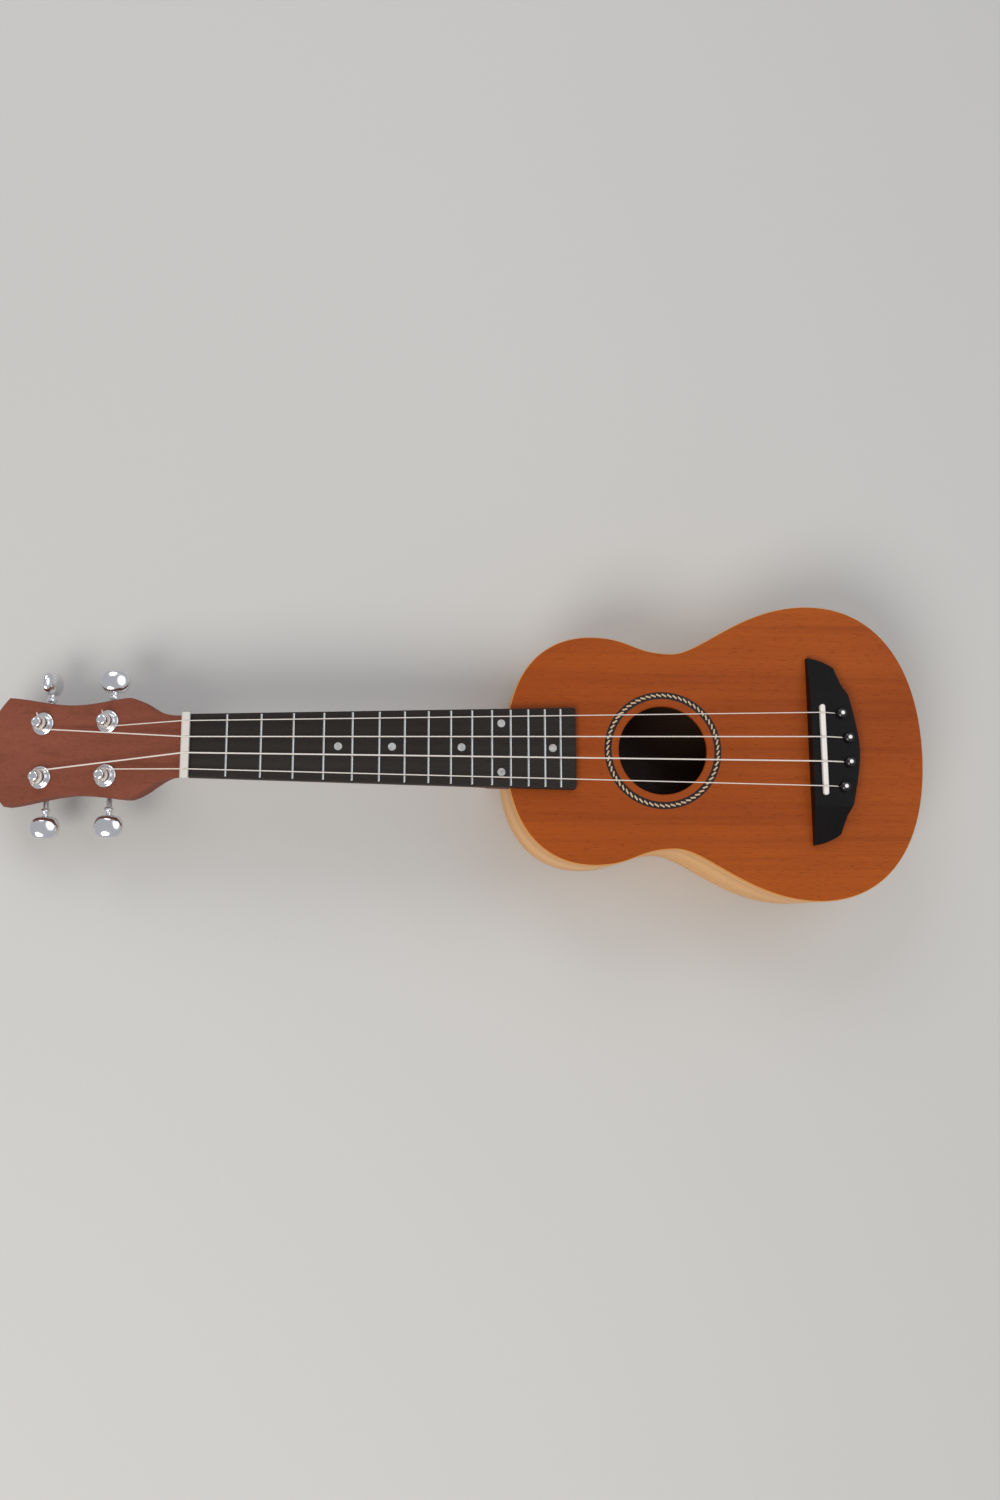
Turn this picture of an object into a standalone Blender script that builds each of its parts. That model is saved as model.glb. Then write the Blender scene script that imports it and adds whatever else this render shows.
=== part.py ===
"""A soprano ukulele, lying on its back, as an assembly of its separate pieces.

Metres. +X runs along the strings from the headstock to the tail, +Y towards the highest string
and +Z out of the soundboard. The origin is on the back's flat outer face, midway along the body.
"""

from math import asin, cos, pi, radians, sin, sqrt

import bmesh
import bpy
from mathutils import Matrix, Vector

# ---------------------------------------------------------------- driving dimensions
SCALE_LENGTH = 0.346  # nut to the unshifted saddle line
BODY_LENGTH = 0.237
BODY_DEPTH = 0.0625
UPPER_BOUT_WIDTH = 0.1284
WAIST_WIDTH = 0.1104
LOWER_BOUT_WIDTH = 0.1678
UPPER_BOUT_AT = 0.0484  # measured from the body's front end, like the next two
WAIST_AT = 0.0939
LOWER_BOUT_AT = 0.1742
FRONT_FULLNESS = 0.0497  # how far each end and bend holds its direction
UPPER_FULLNESS = 0.0226
WAIST_FRONT_FULLNESS = 0.0218
WAIST_BACK_FULLNESS = 0.0170
LOWER_FULLNESS = 0.0390
TAIL_FULLNESS = 0.0525

GAP = 0.0003  # between pieces that touch
PAST = 0.001  # how far a cutter passes through what it cuts
FAR_PAST = 0.010
RUNNING_GAP = 0.0003  # round a shaft that turns

TOP_THICKNESS = 0.0026
BACK_THICKNESS = 0.0030
SIDE_THICKNESS = 0.0024
LINING_THICKNESS = 0.0050
LINING_HEIGHT = 0.0080
NECK_BLOCK_LENGTH = 0.026
NECK_BLOCK_WIDTH = 0.052
TAIL_BLOCK_LENGTH = 0.018
TAIL_BLOCK_WIDTH = 0.060
BRACE_WIDTH = 0.006
TOP_BRACE_HEIGHT = 0.008
BACK_BRACE_HEIGHT = 0.010
BRACE_TO_HOLE = 0.012  # from the sound hole's edge to a brace
BRIDGE_PLATE_THICKNESS = 0.002
BRIDGE_PLATE_WIDTH = 0.084
BRIDGE_PLATE_MARGIN = 0.003
UPPER_BACK_BRACE_AT = 0.062
LOWER_BACK_BRACE_AT = 0.165

HOLE_AT = 0.088  # sound hole's centre from the body's front end
HOLE_RADIUS = 0.0248
ROSETTE_MARGIN = 0.0042  # from the hole's edge to the inlay
ROSETTE_WIDTH = 0.0040
ROSETTE_THICKNESS = 0.0010

FRET12_PAST_BODY = 0.0025  # the twelfth fret is this far on to the body
FRET_COUNT = 15
BOARD_THICKNESS = 0.0042
BOARD_NUT_WIDTH = 0.0344
BOARD_END_WIDTH = 0.0456
BOARD_PAST_LAST_FRET = 0.0085
BOARD_CORNER = 0.0015
FRET_CROWN_WIDTH = 0.0016
FRET_CROWN_HEIGHT = 0.0010
FRET_SEAT = 0.0005  # how deep the crown is joined into the board
FRET_END_INSET = 0.0007

NUT_THICKNESS = 0.0045
NUT_OVERHANG = 0.0006
NUT_HEIGHT = 0.0068
NUT_SLOT_SLOPE = 0.30  # how a slot falls away towards the headstock
NUT_EASE = 0.0008

NECK_DEPTH_AT_NUT = 0.0125
NECK_DEPTH_AT_HEEL = 0.0140
HEEL_DEPTH = 0.0520
HEEL_SWEEP = 0.024
HEEL_CAP = 0.010
HEEL_STEPS = 8
HEEL_CROWDING = 1.6  # how the heel's sections crowd towards its foot
NECK_OVERRUN = 0.006  # how far the neck's blank runs into the body before it is fitted
HEEL_SQUARENESS = 1.8  # of a section: 2 is an ellipse, and more is squarer
SHAFT_SQUARENESS = 2.0
NUT_SQUARENESS = 2.1
HEAD_SQUARING = 10  # added to it along the head's bend
DOWEL_RADIUS = 0.0050
DOWEL_LENGTH = 0.024
DOWEL_DEPTH = 0.026  # below the soundboard

HEAD_TILT = radians(14)
HEAD_BREAK = 0.0015  # from the nut's back face to the line where the head tilts
HEAD_THICKNESS = 0.0110
HEAD_LENGTH = 0.1180
HEAD_SHOULDER_AT = 0.0295
HEAD_SHOULDER_WIDTH = 0.0558
HEAD_WAIST_AT = 0.0620
HEAD_WAIST_WIDTH = 0.0500
HEAD_CORNER_AT = 0.1030
HEAD_CORNER_WIDTH = 0.0612
HEAD_BEND = 0.020  # along which the neck's round back becomes the head's flat one
HEAD_LEAN_AT_BREAK = 0.6  # share of the tilt at the line where the head tilts
HEAD_SHOULDER_LEAD = (0.0105, 0.0024)  # the outline's pull before its shoulder, and past it
HEAD_SHOULDER_LEAVE = (0.0040, 0.0009)
HEAD_WAIST_FULLNESS = 0.014
HEAD_CORNER_LEAD = (0.0130, 0.0010)
HEAD_CORNER_LEAVE = (0.0060, 0.0061)
HEAD_CROWN_SHARE = 0.4  # how wide the crown stays, as a share of the corners
HEAD_TIP_SHARE = 0.62  # the last section's width, as a share of the one before

NEAR_POST_AT = 0.0426  # along the head's face from the tilt line
FAR_POST_AT = 0.0814
POST_SPREAD = 0.0300
POST_RADIUS = 0.0030
POST_HEIGHT = 0.0080
POST_HOLE_RADIUS = 0.0008
POST_HOLE_BELOW_TOP = 0.0020
BUSHING_WALL = 0.0008
BUSHING_HEAD_RIM = 0.0007
BUSHING_HEAD_HEIGHT = 0.0016
WASHER_RIM = 0.0022
WASHER_THICKNESS = 0.0010
WHEEL_TEETH = 14
WHEEL_PITCH_RADIUS = 0.0040
WORM_PITCH_RADIUS = 0.0019
TOOTH_HALF_HEIGHT = 0.00045
WHEEL_THICKNESS = 0.0030
WHEEL_BELOW_HEAD = 0.0058  # head's back face to the wheel's middle plane
WORM_TURNS = 3
CASE_WALL = 0.0012
CASE_FLOOR = 0.0014
CASE_TAB_LENGTH = 0.0065
CASE_TAB_THICKNESS = 0.0016
SCREW_RADIUS = 0.0011
SCREW_HEAD_RADIUS = 0.0019
SCREW_HEAD_HEIGHT = 0.0010
SCREW_LENGTH = 0.0070
WORM_SHAFT_RADIUS = 0.0015
BUTTON_OUT = 0.0478  # the button's outer end from the centre line
BUTTON_LENGTH = 0.0130
BUTTON_WIDTH = 0.0160
BUTTON_THICKNESS = 0.0078
COLLAR_RADIUS = 0.0027
COLLAR_LENGTH = 0.0045

STRING_SPREAD_AT_NUT = 0.0262
STRING_SPREAD_AT_SADDLE = 0.0412
STRING_ABOVE_FRETS = 0.0006
STRING_ON_SADDLE = 0.0092  # saddle's crown above the soundboard
WINDING_TURNS = 2
WINDING_GAP = 0.00025  # between a winding's turns
STRING_PAST_PLATE = 0.0003  # the string's end below the bridge plate

SADDLE_COMPENSATION = 0.0015
SADDLE_THICKNESS = 0.0030
SADDLE_LENGTH = 0.0510
SADDLE_SLOT_DEPTH = 0.0032
BRIDGE_LENGTH = 0.1060
BRIDGE_FRONT = 0.0060  # ahead of the saddle's line
BRIDGE_BACK = 0.0207  # behind it
BRIDGE_HEIGHT = 0.0070
BRIDGE_TIP_HEIGHT = 0.0030
BRIDGE_BLOCK_WIDTH = 0.0640
BRIDGE_WING_WIDTH = 0.0940
BRIDGE_SHOULDER_IN = 0.0048  # from the bridge's back edge, like the next two
BRIDGE_STEP_IN = 0.0092
BRIDGE_WING_IN = 0.0120
BRIDGE_ARCH_FALL = 0.0033  # how far the arch has fallen at most of its width
BRIDGE_STEP_WIDTH = 0.0065  # how far the step reaches past the block
BRIDGE_ARCH_STEPS = 5
BRIDGE_STEP_STEPS = 4
OUTER_PIN_BACK = 0.0111
INNER_PIN_BACK = 0.0146
PIN_RADIUS = 0.0025
PIN_HEAD_RADIUS = 0.0031
PIN_HEAD_HEIGHT = 0.0030
PIN_LENGTH = 0.0170
PIN_GROOVE_DEPTH = 0.0016
RAMP_LENGTH = 0.0024  # the string's shallow way into its hole
RAMP_DEPTH = 0.0031

STEPS = 7  # straight pieces in each stretch of an outline
ROUND = 14  # sides of a small round piece
WIDE_ROUND = 40  # sides of the sound hole and rosette

# ---------------------------------------------------------------- worked-out places
FRONT_X = -BODY_LENGTH / 2
TAIL_X = BODY_LENGTH / 2
TOP_Z = BODY_DEPTH
TOP_UNDER_Z = TOP_Z - TOP_THICKNESS - GAP
BACK_OVER_Z = BACK_THICKNESS + GAP
NUT_X = FRONT_X + FRET12_PAST_BODY - SCALE_LENGTH / 2
SADDLE_X = NUT_X + SCALE_LENGTH + SADDLE_COMPENSATION
HOLE_X = FRONT_X + HOLE_AT
ROSETTE_INNER_RADIUS = HOLE_RADIUS + ROSETTE_MARGIN
ROSETTE_OUTER_RADIUS = ROSETTE_INNER_RADIUS + ROSETTE_WIDTH
BOARD_Z = TOP_Z + GAP
BOARD_TOP_Z = BOARD_Z + BOARD_THICKNESS
FRET_TOP_Z = BOARD_TOP_Z + FRET_CROWN_HEIGHT
BREAK_X = NUT_X - GAP - NUT_THICKNESS - HEAD_BREAK
INNER_INSET = SIDE_THICKNESS + GAP
BRACE_INSET = INNER_INSET + LINING_THICKNESS + GAP

HEAD_ALONG = Vector((-cos(HEAD_TILT), 0, -sin(HEAD_TILT)))
HEAD_UP = Vector((-sin(HEAD_TILT), 0, cos(HEAD_TILT)))
BUSHING_RADIUS = POST_RADIUS + RUNNING_GAP + BUSHING_WALL
BUSHING_HEAD_RADIUS = BUSHING_RADIUS + BUSHING_HEAD_RIM
WASHER_RADIUS = BUSHING_RADIUS + WASHER_RIM
CENTRE_DISTANCE = WHEEL_PITCH_RADIUS + WORM_PITCH_RADIUS + GAP
WHEEL_UP = -HEAD_THICKNESS - WHEEL_BELOW_HEAD
JOURNAL_RADIUS = POST_RADIUS * 0.6  # the post's thin lower end
WHEEL_OUTER = WHEEL_PITCH_RADIUS + TOOTH_HALF_HEIGHT
WORM_OUTER = WORM_PITCH_RADIUS + TOOTH_HALF_HEIGHT
WORM_PITCH = 2 * pi * WHEEL_PITCH_RADIUS / WHEEL_TEETH

# name, side of the centre line in steps across, string radius, place of its post, button's turn
STRINGS = (
    ("g", -3, 0.000305, NEAR_POST_AT, radians(18)),
    ("c", -1, 0.000420, FAR_POST_AT, radians(28)),
    ("e", 1, 0.000355, FAR_POST_AT, radians(84)),
    ("a", 3, 0.000280, NEAR_POST_AT, radians(25)),
)


# ---------------------------------------------------------------- small tools
def clear_scene():
    for thing in list(bpy.data.objects):
        bpy.data.objects.remove(thing, do_unlink=True)


def finish(name, colour, roughness, metallic=0.0):
    surface = bpy.data.materials.new(name)
    surface.use_nodes = True
    shader = surface.node_tree.nodes["Principled BSDF"]
    shader.inputs["Base Color"].default_value = (*colour, 1)
    shader.inputs["Roughness"].default_value = roughness
    shader.inputs["Metallic"].default_value = metallic
    surface.diffuse_color = (*colour, 1)
    return surface


def add_object(name, bm, surface, parent=None, smooth=False):
    """Turns a finished bmesh into an object, faces outwards, and hangs it on its parent."""
    bmesh.ops.recalc_face_normals(bm, faces=bm.faces)
    mesh = bpy.data.meshes.new(name)
    bm.to_mesh(mesh)
    bm.free()
    if smooth:
        mesh.shade_smooth()
        mesh.set_sharp_from_angle(angle=radians(35))
    thing = bpy.data.objects.new(name, mesh)
    bpy.context.scene.collection.objects.link(thing)
    if surface:
        mesh.materials.append(surface)
    thing.parent = parent
    return thing


def add_empty(name, place, turn=None):
    thing = bpy.data.objects.new(name, None)
    bpy.context.scene.collection.objects.link(thing)
    thing.matrix_world = Matrix.Translation(place) @ (turn or Matrix())
    return thing


def boolean(thing, other, operation="DIFFERENCE"):
    """Joins, cuts or trims by another object, which then stays only as a guide."""
    other.hide_render = True
    other.display_type = "WIRE"
    step = thing.modifiers.new(operation.title(), "BOOLEAN")
    step.operation = operation
    step.object = other


def skin(bm, rings, close=True):
    """Faces between rings of equal length, with both ends filled."""
    rows = [[bm.verts.new(point) for point in ring] for ring in rings]
    for low, high in zip(rows, rows[1:]):
        for i in range(len(low)):
            j = (i + 1) % len(low)
            bm.faces.new((low[i], low[j], high[j], high[i]))
    if close:
        bm.faces.new(rows[0])
        bm.faces.new(rows[-1])
    return bm


def prism(bm, outline, low, high):
    return skin(bm, [[(x, y, low) for x, y in outline], [(x, y, high) for x, y in outline]])


def box(bm, low, high):
    outline = ((low[0], low[1]), (high[0], low[1]), (high[0], high[1]), (low[0], high[1]))
    return prism(bm, outline, low[2], high[2])


def circle(radius, centre=(0, 0), sides=ROUND, half_step=0.0):
    turns = [2 * pi * (i + half_step) / sides for i in range(sides)]
    return [(centre[0] + radius * cos(a), centre[1] + radius * sin(a)) for a in turns]


def drum(bm, radius, low, high, centre=(0, 0), sides=ROUND):
    return prism(bm, circle(radius, centre, sides), low, high)


def turned(bm, profile, sides=ROUND, centre=(0, 0)):
    """A solid of revolution about +Z from (radius, height) steps, bottom to top."""
    rings = [[(x, y, h) for x, y in circle(r, centre, sides)] for r, h in profile]
    return skin(bm, rings)


def joined_round(bm, loops):
    """Faces between loops of equal length, with the last joined back to the first."""
    rows = [[bm.verts.new(point) for point in loop] for loop in loops]
    for a, b in zip(rows, rows[1:] + rows[:1]):
        for i in range(len(a)):
            j = (i + 1) % len(a)
            bm.faces.new((a[i], a[j], b[j], b[i]))
    return bm


def turned_tube(bm, corners, centre=(0, 0), sides=ROUND):
    """A turned tube: its section is a closed loop of (radius, height) corners."""
    return joined_round(bm, [[(x, y, h) for x, y in circle(r, centre, sides)] for r, h in corners])


def ring(bm, inner, outer, low, high, centre, sides):
    corners = ((outer, low), (outer, high), (inner, high), (inner, low))
    return turned_tube(bm, corners, centre, sides)


def plate_with_hole(bm, outer, inner, low, high):
    """A flat ring between two outlines with the same number of points."""
    corners = ((outer, low), (outer, high), (inner, high), (inner, low))
    return joined_round(bm, [[(x, y, z) for x, y in line] for line, z in corners])


def bezier(points, t):
    """Place and direction at t on a cubic curve."""
    a, b, c, d = (Vector(p) for p in points)
    u = 1 - t
    place = a * u**3 + b * 3 * u * u * t + c * 3 * u * t * t + d * t**3
    direction = (b - a) * 3 * u * u + (c - b) * 6 * u * t + (d - c) * 3 * t * t
    return place, direction


def cross_with(thing, bm, operation="DIFFERENCE"):
    boolean(thing, add_object(thing.name + "_guide", bm, None), operation)


# ---------------------------------------------------------------- outlines
def body_stretches():
    """The half outline of the body as cubic stretches, from the neck end to the tail."""
    upper, waist, lower = (w / 2 for w in (UPPER_BOUT_WIDTH, WAIST_WIDTH, LOWER_BOUT_WIDTH))
    at = [FRONT_X + place for place in (UPPER_BOUT_AT, WAIST_AT, LOWER_BOUT_AT)]
    return (
        ((FRONT_X, 0), (FRONT_X, FRONT_FULLNESS), (at[0] - UPPER_FULLNESS, upper), (at[0], upper)),
        (
            (at[0], upper),
            (at[0] + UPPER_FULLNESS, upper),
            (at[1] - WAIST_FRONT_FULLNESS, waist),
            (at[1], waist),
        ),
        (
            (at[1], waist),
            (at[1] + WAIST_BACK_FULLNESS, waist),
            (at[2] - LOWER_FULLNESS, lower),
            (at[2], lower),
        ),
        ((at[2], lower), (at[2] + LOWER_FULLNESS, lower), (TAIL_X, TAIL_FULLNESS), (TAIL_X, 0)),
    )


def half_body(inset):
    """Points of the half outline, moved inwards by the inset, from the neck end to the tail."""
    points = []
    for stretch in body_stretches():
        for i in range(STEPS + 1):
            if points and i == 0:
                continue
            place, direction = bezier(stretch, i / STEPS)
            inwards = Vector((direction.y, -direction.x)).normalized()
            points.append(place + inwards * inset)
    return points


def body_outline(inset=0.0):
    half = half_body(inset)
    upper = [(p.x, p.y) for p in half]
    lower = [(p.x, -p.y) for p in half[-2:0:-1]]
    return upper + lower


def board_half_width(x):
    """Half the width of the fingerboard, and of the neck under it, at x."""
    along = (x - NUT_X) / (BOARD_END_X - NUT_X)
    return (BOARD_NUT_WIDTH + along * (BOARD_END_WIDTH - BOARD_NUT_WIDTH)) / 2


def fret_x(number):
    return NUT_X + SCALE_LENGTH * (1 - 2 ** (-number / 12))


BOARD_END_X = fret_x(FRET_COUNT) + BOARD_PAST_LAST_FRET


def head_place(along, across, up):
    """A point of the headstock: along its face from the tilt line, across it, and out of it."""
    start = Vector((BREAK_X, across, TOP_Z))
    return start + HEAD_ALONG * along + HEAD_UP * up


# ---------------------------------------------------------------- body
def make_body(wood):
    rim_low, rim_high = BACK_OVER_Z, TOP_UNDER_Z

    top = add_object(
        "soundboard", prism(bmesh.new(), body_outline(), TOP_Z - TOP_THICKNESS, TOP_Z), wood["top"]
    )
    cutter = bmesh.new()
    deep = TOP_THICKNESS + PAST
    drum(cutter, HOLE_RADIUS, TOP_Z - deep, TOP_Z + deep, (HOLE_X, 0), WIDE_ROUND)
    ring(
        cutter,
        ROSETTE_INNER_RADIUS - GAP,
        ROSETTE_OUTER_RADIUS + GAP,
        TOP_Z - ROSETTE_THICKNESS - GAP,
        TOP_Z + deep,
        (HOLE_X, 0),
        WIDE_ROUND,
    )
    for x, y in pin_places():
        pin_hole(cutter, x, y, TOP_Z - deep, TOP_Z + deep)
    cross_with(top, cutter)

    add_object("back_plate", prism(bmesh.new(), body_outline(), 0, BACK_THICKNESS), wood["side"])

    outer, inner = half_body(0), half_body(SIDE_THICKNESS)
    for name, side in (("side_treble", 1), ("side_bass", -1)):
        loop = [Vector((p.x, max(p.y, GAP / 2))) for p in outer]
        loop += [Vector((p.x, max(p.y, GAP / 2))) for p in reversed(inner)]
        wall = prism(bmesh.new(), [(p.x, side * p.y) for p in loop], rim_low, rim_high)
        bent = add_object(name, wall, wood["side"])
        cross_with(bent, dowel_hole())

    for name, low, block_x, width, inwards in (
        ("neck_block", FRONT_X, NECK_BLOCK_LENGTH, NECK_BLOCK_WIDTH, 1),
        ("tail_block", TAIL_X, TAIL_BLOCK_LENGTH, TAIL_BLOCK_WIDTH, -1),
    ):
        ends = sorted((low - inwards * FAR_PAST, low + inwards * block_x))
        block = prism(bmesh.new(), body_outline(INNER_INSET), rim_low, rim_high)
        thing = add_object(name, block, wood["block"])
        keep = box(
            bmesh.new(), (ends[0], -width / 2, -FAR_PAST), (ends[1], width / 2, TOP_Z + FAR_PAST)
        )
        cross_with(thing, keep, "INTERSECT")
        for _, low_z, high_z in lining_levels():
            outer, inner = body_outline(-FAR_PAST), body_outline(BRACE_INSET)
            notch = bmesh.new()
            plate_with_hole(notch, outer, inner, low_z - GAP, high_z + GAP)
            cross_with(thing, notch)
        if name == "neck_block":
            cross_with(thing, dowel_hole())

    start = FRONT_X - DOWEL_LENGTH / 2
    dowel = lying_drum(bmesh.new(), DOWEL_RADIUS, start, start + DOWEL_LENGTH)
    add_object("neck_dowel", dowel, wood["dowel"], smooth=True)


def lying_drum(bm, radius, low_x, high_x):
    z = TOP_Z - DOWEL_DEPTH
    rings = [[(x, y, z + up) for y, up in circle(radius)] for x in (low_x, high_x)]
    return skin(bm, rings)


def dowel_hole():
    reach = DOWEL_LENGTH / 2 + GAP
    return lying_drum(bmesh.new(), DOWEL_RADIUS + GAP, FRONT_X - reach, FRONT_X + reach)


def lining_levels():
    return (
        ("lining_top", TOP_UNDER_Z - LINING_HEIGHT, TOP_UNDER_Z),
        ("lining_back", BACK_OVER_Z, BACK_OVER_Z + LINING_HEIGHT),
    )


def make_linings(wood):
    """Continuous glue strips inside the rim; the end blocks are notched round them."""
    for name, low, high in lining_levels():
        strip = prism(bmesh.new(), body_outline(INNER_INSET), low, high)
        thing = add_object(name, strip, wood["block"])
        within = body_outline(INNER_INSET + LINING_THICKNESS)
        cross_with(thing, prism(bmesh.new(), within, low - FAR_PAST, high + FAR_PAST))


def make_brace(name, low_x, high_x, low_z, high_z, surface, half_width=None):
    """A bar glued across the body, or between two widths, trimmed to end at the linings."""
    reach = half_width or LOWER_BOUT_WIDTH + UPPER_BOUT_WIDTH
    bar = add_object(name, box(bmesh.new(), (low_x, -reach, low_z), (high_x, reach, high_z)), surface)
    inside = prism(bmesh.new(), body_outline(BRACE_INSET), -FAR_PAST, TOP_Z + FAR_PAST)
    cross_with(bar, inside, "INTERSECT")
    return bar


def make_braces(wood):
    hang = TOP_UNDER_Z - TOP_BRACE_HEIGHT
    ahead = HOLE_X - HOLE_RADIUS - BRACE_TO_HOLE
    behind = HOLE_X + HOLE_RADIUS + BRACE_TO_HOLE
    spruce = wood["brace"]
    make_brace("soundhole_brace", ahead - BRACE_WIDTH, ahead, hang, TOP_UNDER_Z, spruce)
    make_brace("lower_brace", behind, behind + BRACE_WIDTH, hang, TOP_UNDER_Z, spruce)

    plate_low = SADDLE_X - BRIDGE_FRONT - BRIDGE_PLATE_MARGIN
    plate_high = SADDLE_X + BRIDGE_BACK + BRIDGE_PLATE_MARGIN
    plate = make_brace(
        "bridge_plate",
        plate_low,
        plate_high,
        TOP_UNDER_Z - BRIDGE_PLATE_THICKNESS,
        TOP_UNDER_Z,
        wood["maple"],
        BRIDGE_PLATE_WIDTH / 2,
    )
    holes = bmesh.new()
    for x, y in pin_places():
        pin_hole(holes, x, y, TOP_Z - FAR_PAST, TOP_Z + FAR_PAST)
    cross_with(plate, holes)

    for name, at in (
        ("upper_back_brace", UPPER_BACK_BRACE_AT),
        ("lower_back_brace", LOWER_BACK_BRACE_AT),
    ):
        low_x = FRONT_X + at - BRACE_WIDTH / 2
        high_z = BACK_OVER_Z + BACK_BRACE_HEIGHT
        make_brace(name, low_x, low_x + BRACE_WIDTH, BACK_OVER_Z, high_z, spruce)


def make_rosette(surface):
    inlay = ring(
        bmesh.new(),
        ROSETTE_INNER_RADIUS,
        ROSETTE_OUTER_RADIUS,
        TOP_Z - ROSETTE_THICKNESS,
        TOP_Z,
        (HOLE_X, 0),
        WIDE_ROUND,
    )
    add_object("rosette", inlay, surface)


# ---------------------------------------------------------------- neck
def neck_section(centre, half, depth, squareness, tilt, steps=10):
    """One section of the neck: a flat top and a rounded back, leaning with the headstock."""
    down = Vector((sin(tilt), 0, -cos(tilt)))
    points = []
    for i in range(steps + 1):
        turn = pi * i / steps
        across = half * abs(cos(turn)) ** (2 / squareness)
        if turn > pi / 2:
            across = -across
        fall = depth * max(sin(turn), 0.0) ** (2 / squareness)
        points.append(centre + Vector((0, across, 0)) + down * fall)
    return points


def head_stretches():
    """The half outline of the headstock, as cubic stretches from the tilt line to the crown."""
    start = board_half_width(BREAK_X)
    shoulder, waist, corner = (
        w / 2 for w in (HEAD_SHOULDER_WIDTH, HEAD_WAIST_WIDTH, HEAD_CORNER_WIDTH)
    )
    return (
        (
            (0, start),
            (HEAD_SHOULDER_AT / 2, start),
            (HEAD_SHOULDER_AT - HEAD_SHOULDER_LEAD[0], shoulder - HEAD_SHOULDER_LEAD[1]),
            (HEAD_SHOULDER_AT, shoulder),
        ),
        (
            (HEAD_SHOULDER_AT, shoulder),
            (HEAD_SHOULDER_AT + HEAD_SHOULDER_LEAVE[0], shoulder + HEAD_SHOULDER_LEAVE[1]),
            (HEAD_WAIST_AT - HEAD_WAIST_FULLNESS, waist),
            (HEAD_WAIST_AT, waist),
        ),
        (
            (HEAD_WAIST_AT, waist),
            (HEAD_WAIST_AT + HEAD_WAIST_FULLNESS, waist),
            (HEAD_CORNER_AT - HEAD_CORNER_LEAD[0], corner - HEAD_CORNER_LEAD[1]),
            (HEAD_CORNER_AT, corner),
        ),
        (
            (HEAD_CORNER_AT, corner),
            (HEAD_CORNER_AT + HEAD_CORNER_LEAVE[0], corner - HEAD_CORNER_LEAVE[1]),
            (HEAD_LENGTH, corner * HEAD_CROWN_SHARE),
            (HEAD_LENGTH, 0),
        ),
    )


def neck_sections():
    sections = []
    cap_start = FRONT_X - HEEL_CAP
    sweep_start = cap_start - HEEL_SWEEP
    for x in (FRONT_X + NECK_OVERRUN, FRONT_X - 2 * PAST, cap_start):
        centre = Vector((x, 0, TOP_Z))
        sections.append(neck_section(centre, board_half_width(x), HEEL_DEPTH, HEEL_SQUARENESS, 0))
    for i in range(1, HEEL_STEPS + 1):
        share = 1 - (i / HEEL_STEPS) ** HEEL_CROWDING
        x = sweep_start + share * HEEL_SWEEP
        extra = (HEEL_DEPTH - NECK_DEPTH_AT_HEEL) * (1 - sqrt(1 - share * share))
        squareness = SHAFT_SQUARENESS - (SHAFT_SQUARENESS - HEEL_SQUARENESS) * share
        centre = Vector((x, 0, TOP_Z))
        depth = NECK_DEPTH_AT_HEEL + extra
        sections.append(neck_section(centre, board_half_width(x), depth, squareness, 0))
    for x in (NUT_X + 4 * PAST, NUT_X - 2 * PAST):
        centre = Vector((x, 0, TOP_Z))
        half = board_half_width(x)
        sections.append(neck_section(centre, half, NECK_DEPTH_AT_NUT, NUT_SQUARENESS, 0))
    for number, stretch in enumerate(head_stretches()):
        for i in range(STEPS - 1 if number == 3 else STEPS):
            place, _ = bezier(stretch, i / STEPS)
            bend = min(place.x / HEAD_BEND, 1)
            squareness = NUT_SQUARENESS + HEAD_SQUARING * bend**2
            depth = NECK_DEPTH_AT_NUT + bend * (HEAD_THICKNESS - NECK_DEPTH_AT_NUT)
            tilt = HEAD_TILT * (1 if place.x else HEAD_LEAN_AT_BREAK)
            centre = head_place(place.x, 0, 0)
            sections.append(neck_section(centre, place.y, depth, squareness, tilt))
    centre = head_place(HEAD_LENGTH - GAP, 0, 0)
    tip = place.y * HEAD_TIP_SHARE
    sections.append(neck_section(centre, tip, HEAD_THICKNESS, squareness, HEAD_TILT))
    return sections


def make_neck(surface):
    neck = add_object("neck", skin(bmesh.new(), neck_sections()), surface, smooth=True)
    clear = prism(bmesh.new(), body_outline(-GAP), -FAR_PAST, TOP_Z + FAR_PAST)
    cross_with(neck, clear)
    cross_with(neck, dowel_hole())
    holes = bmesh.new()
    deep = HEAD_THICKNESS + 4 * PAST
    for name, side, post_at in tuner_places():
        drum(holes, BUSHING_RADIUS + GAP, -deep, deep, head_flat(post_at, side * POST_SPREAD / 2))
        x, y = head_flat(post_at, side * screw_across())
        screw_low = -deep
        screw_high = -HEAD_THICKNESS + SCREW_LENGTH - CASE_TAB_THICKNESS
        drum(holes, SCREW_RADIUS + GAP, screw_low, screw_high, (x, y), 8)
    holes.transform(head_matrix())
    cross_with(neck, holes)


def head_matrix():
    """From the headstock's own flat layout to the world: X along, Y across, Z out of its face."""
    turn = Matrix((-HEAD_ALONG, (0, 1, 0), HEAD_UP)).transposed()
    return Matrix.Translation((BREAK_X, 0, TOP_Z)) @ turn.to_4x4()


def head_flat(along, across):
    return (-along, across)


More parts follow.
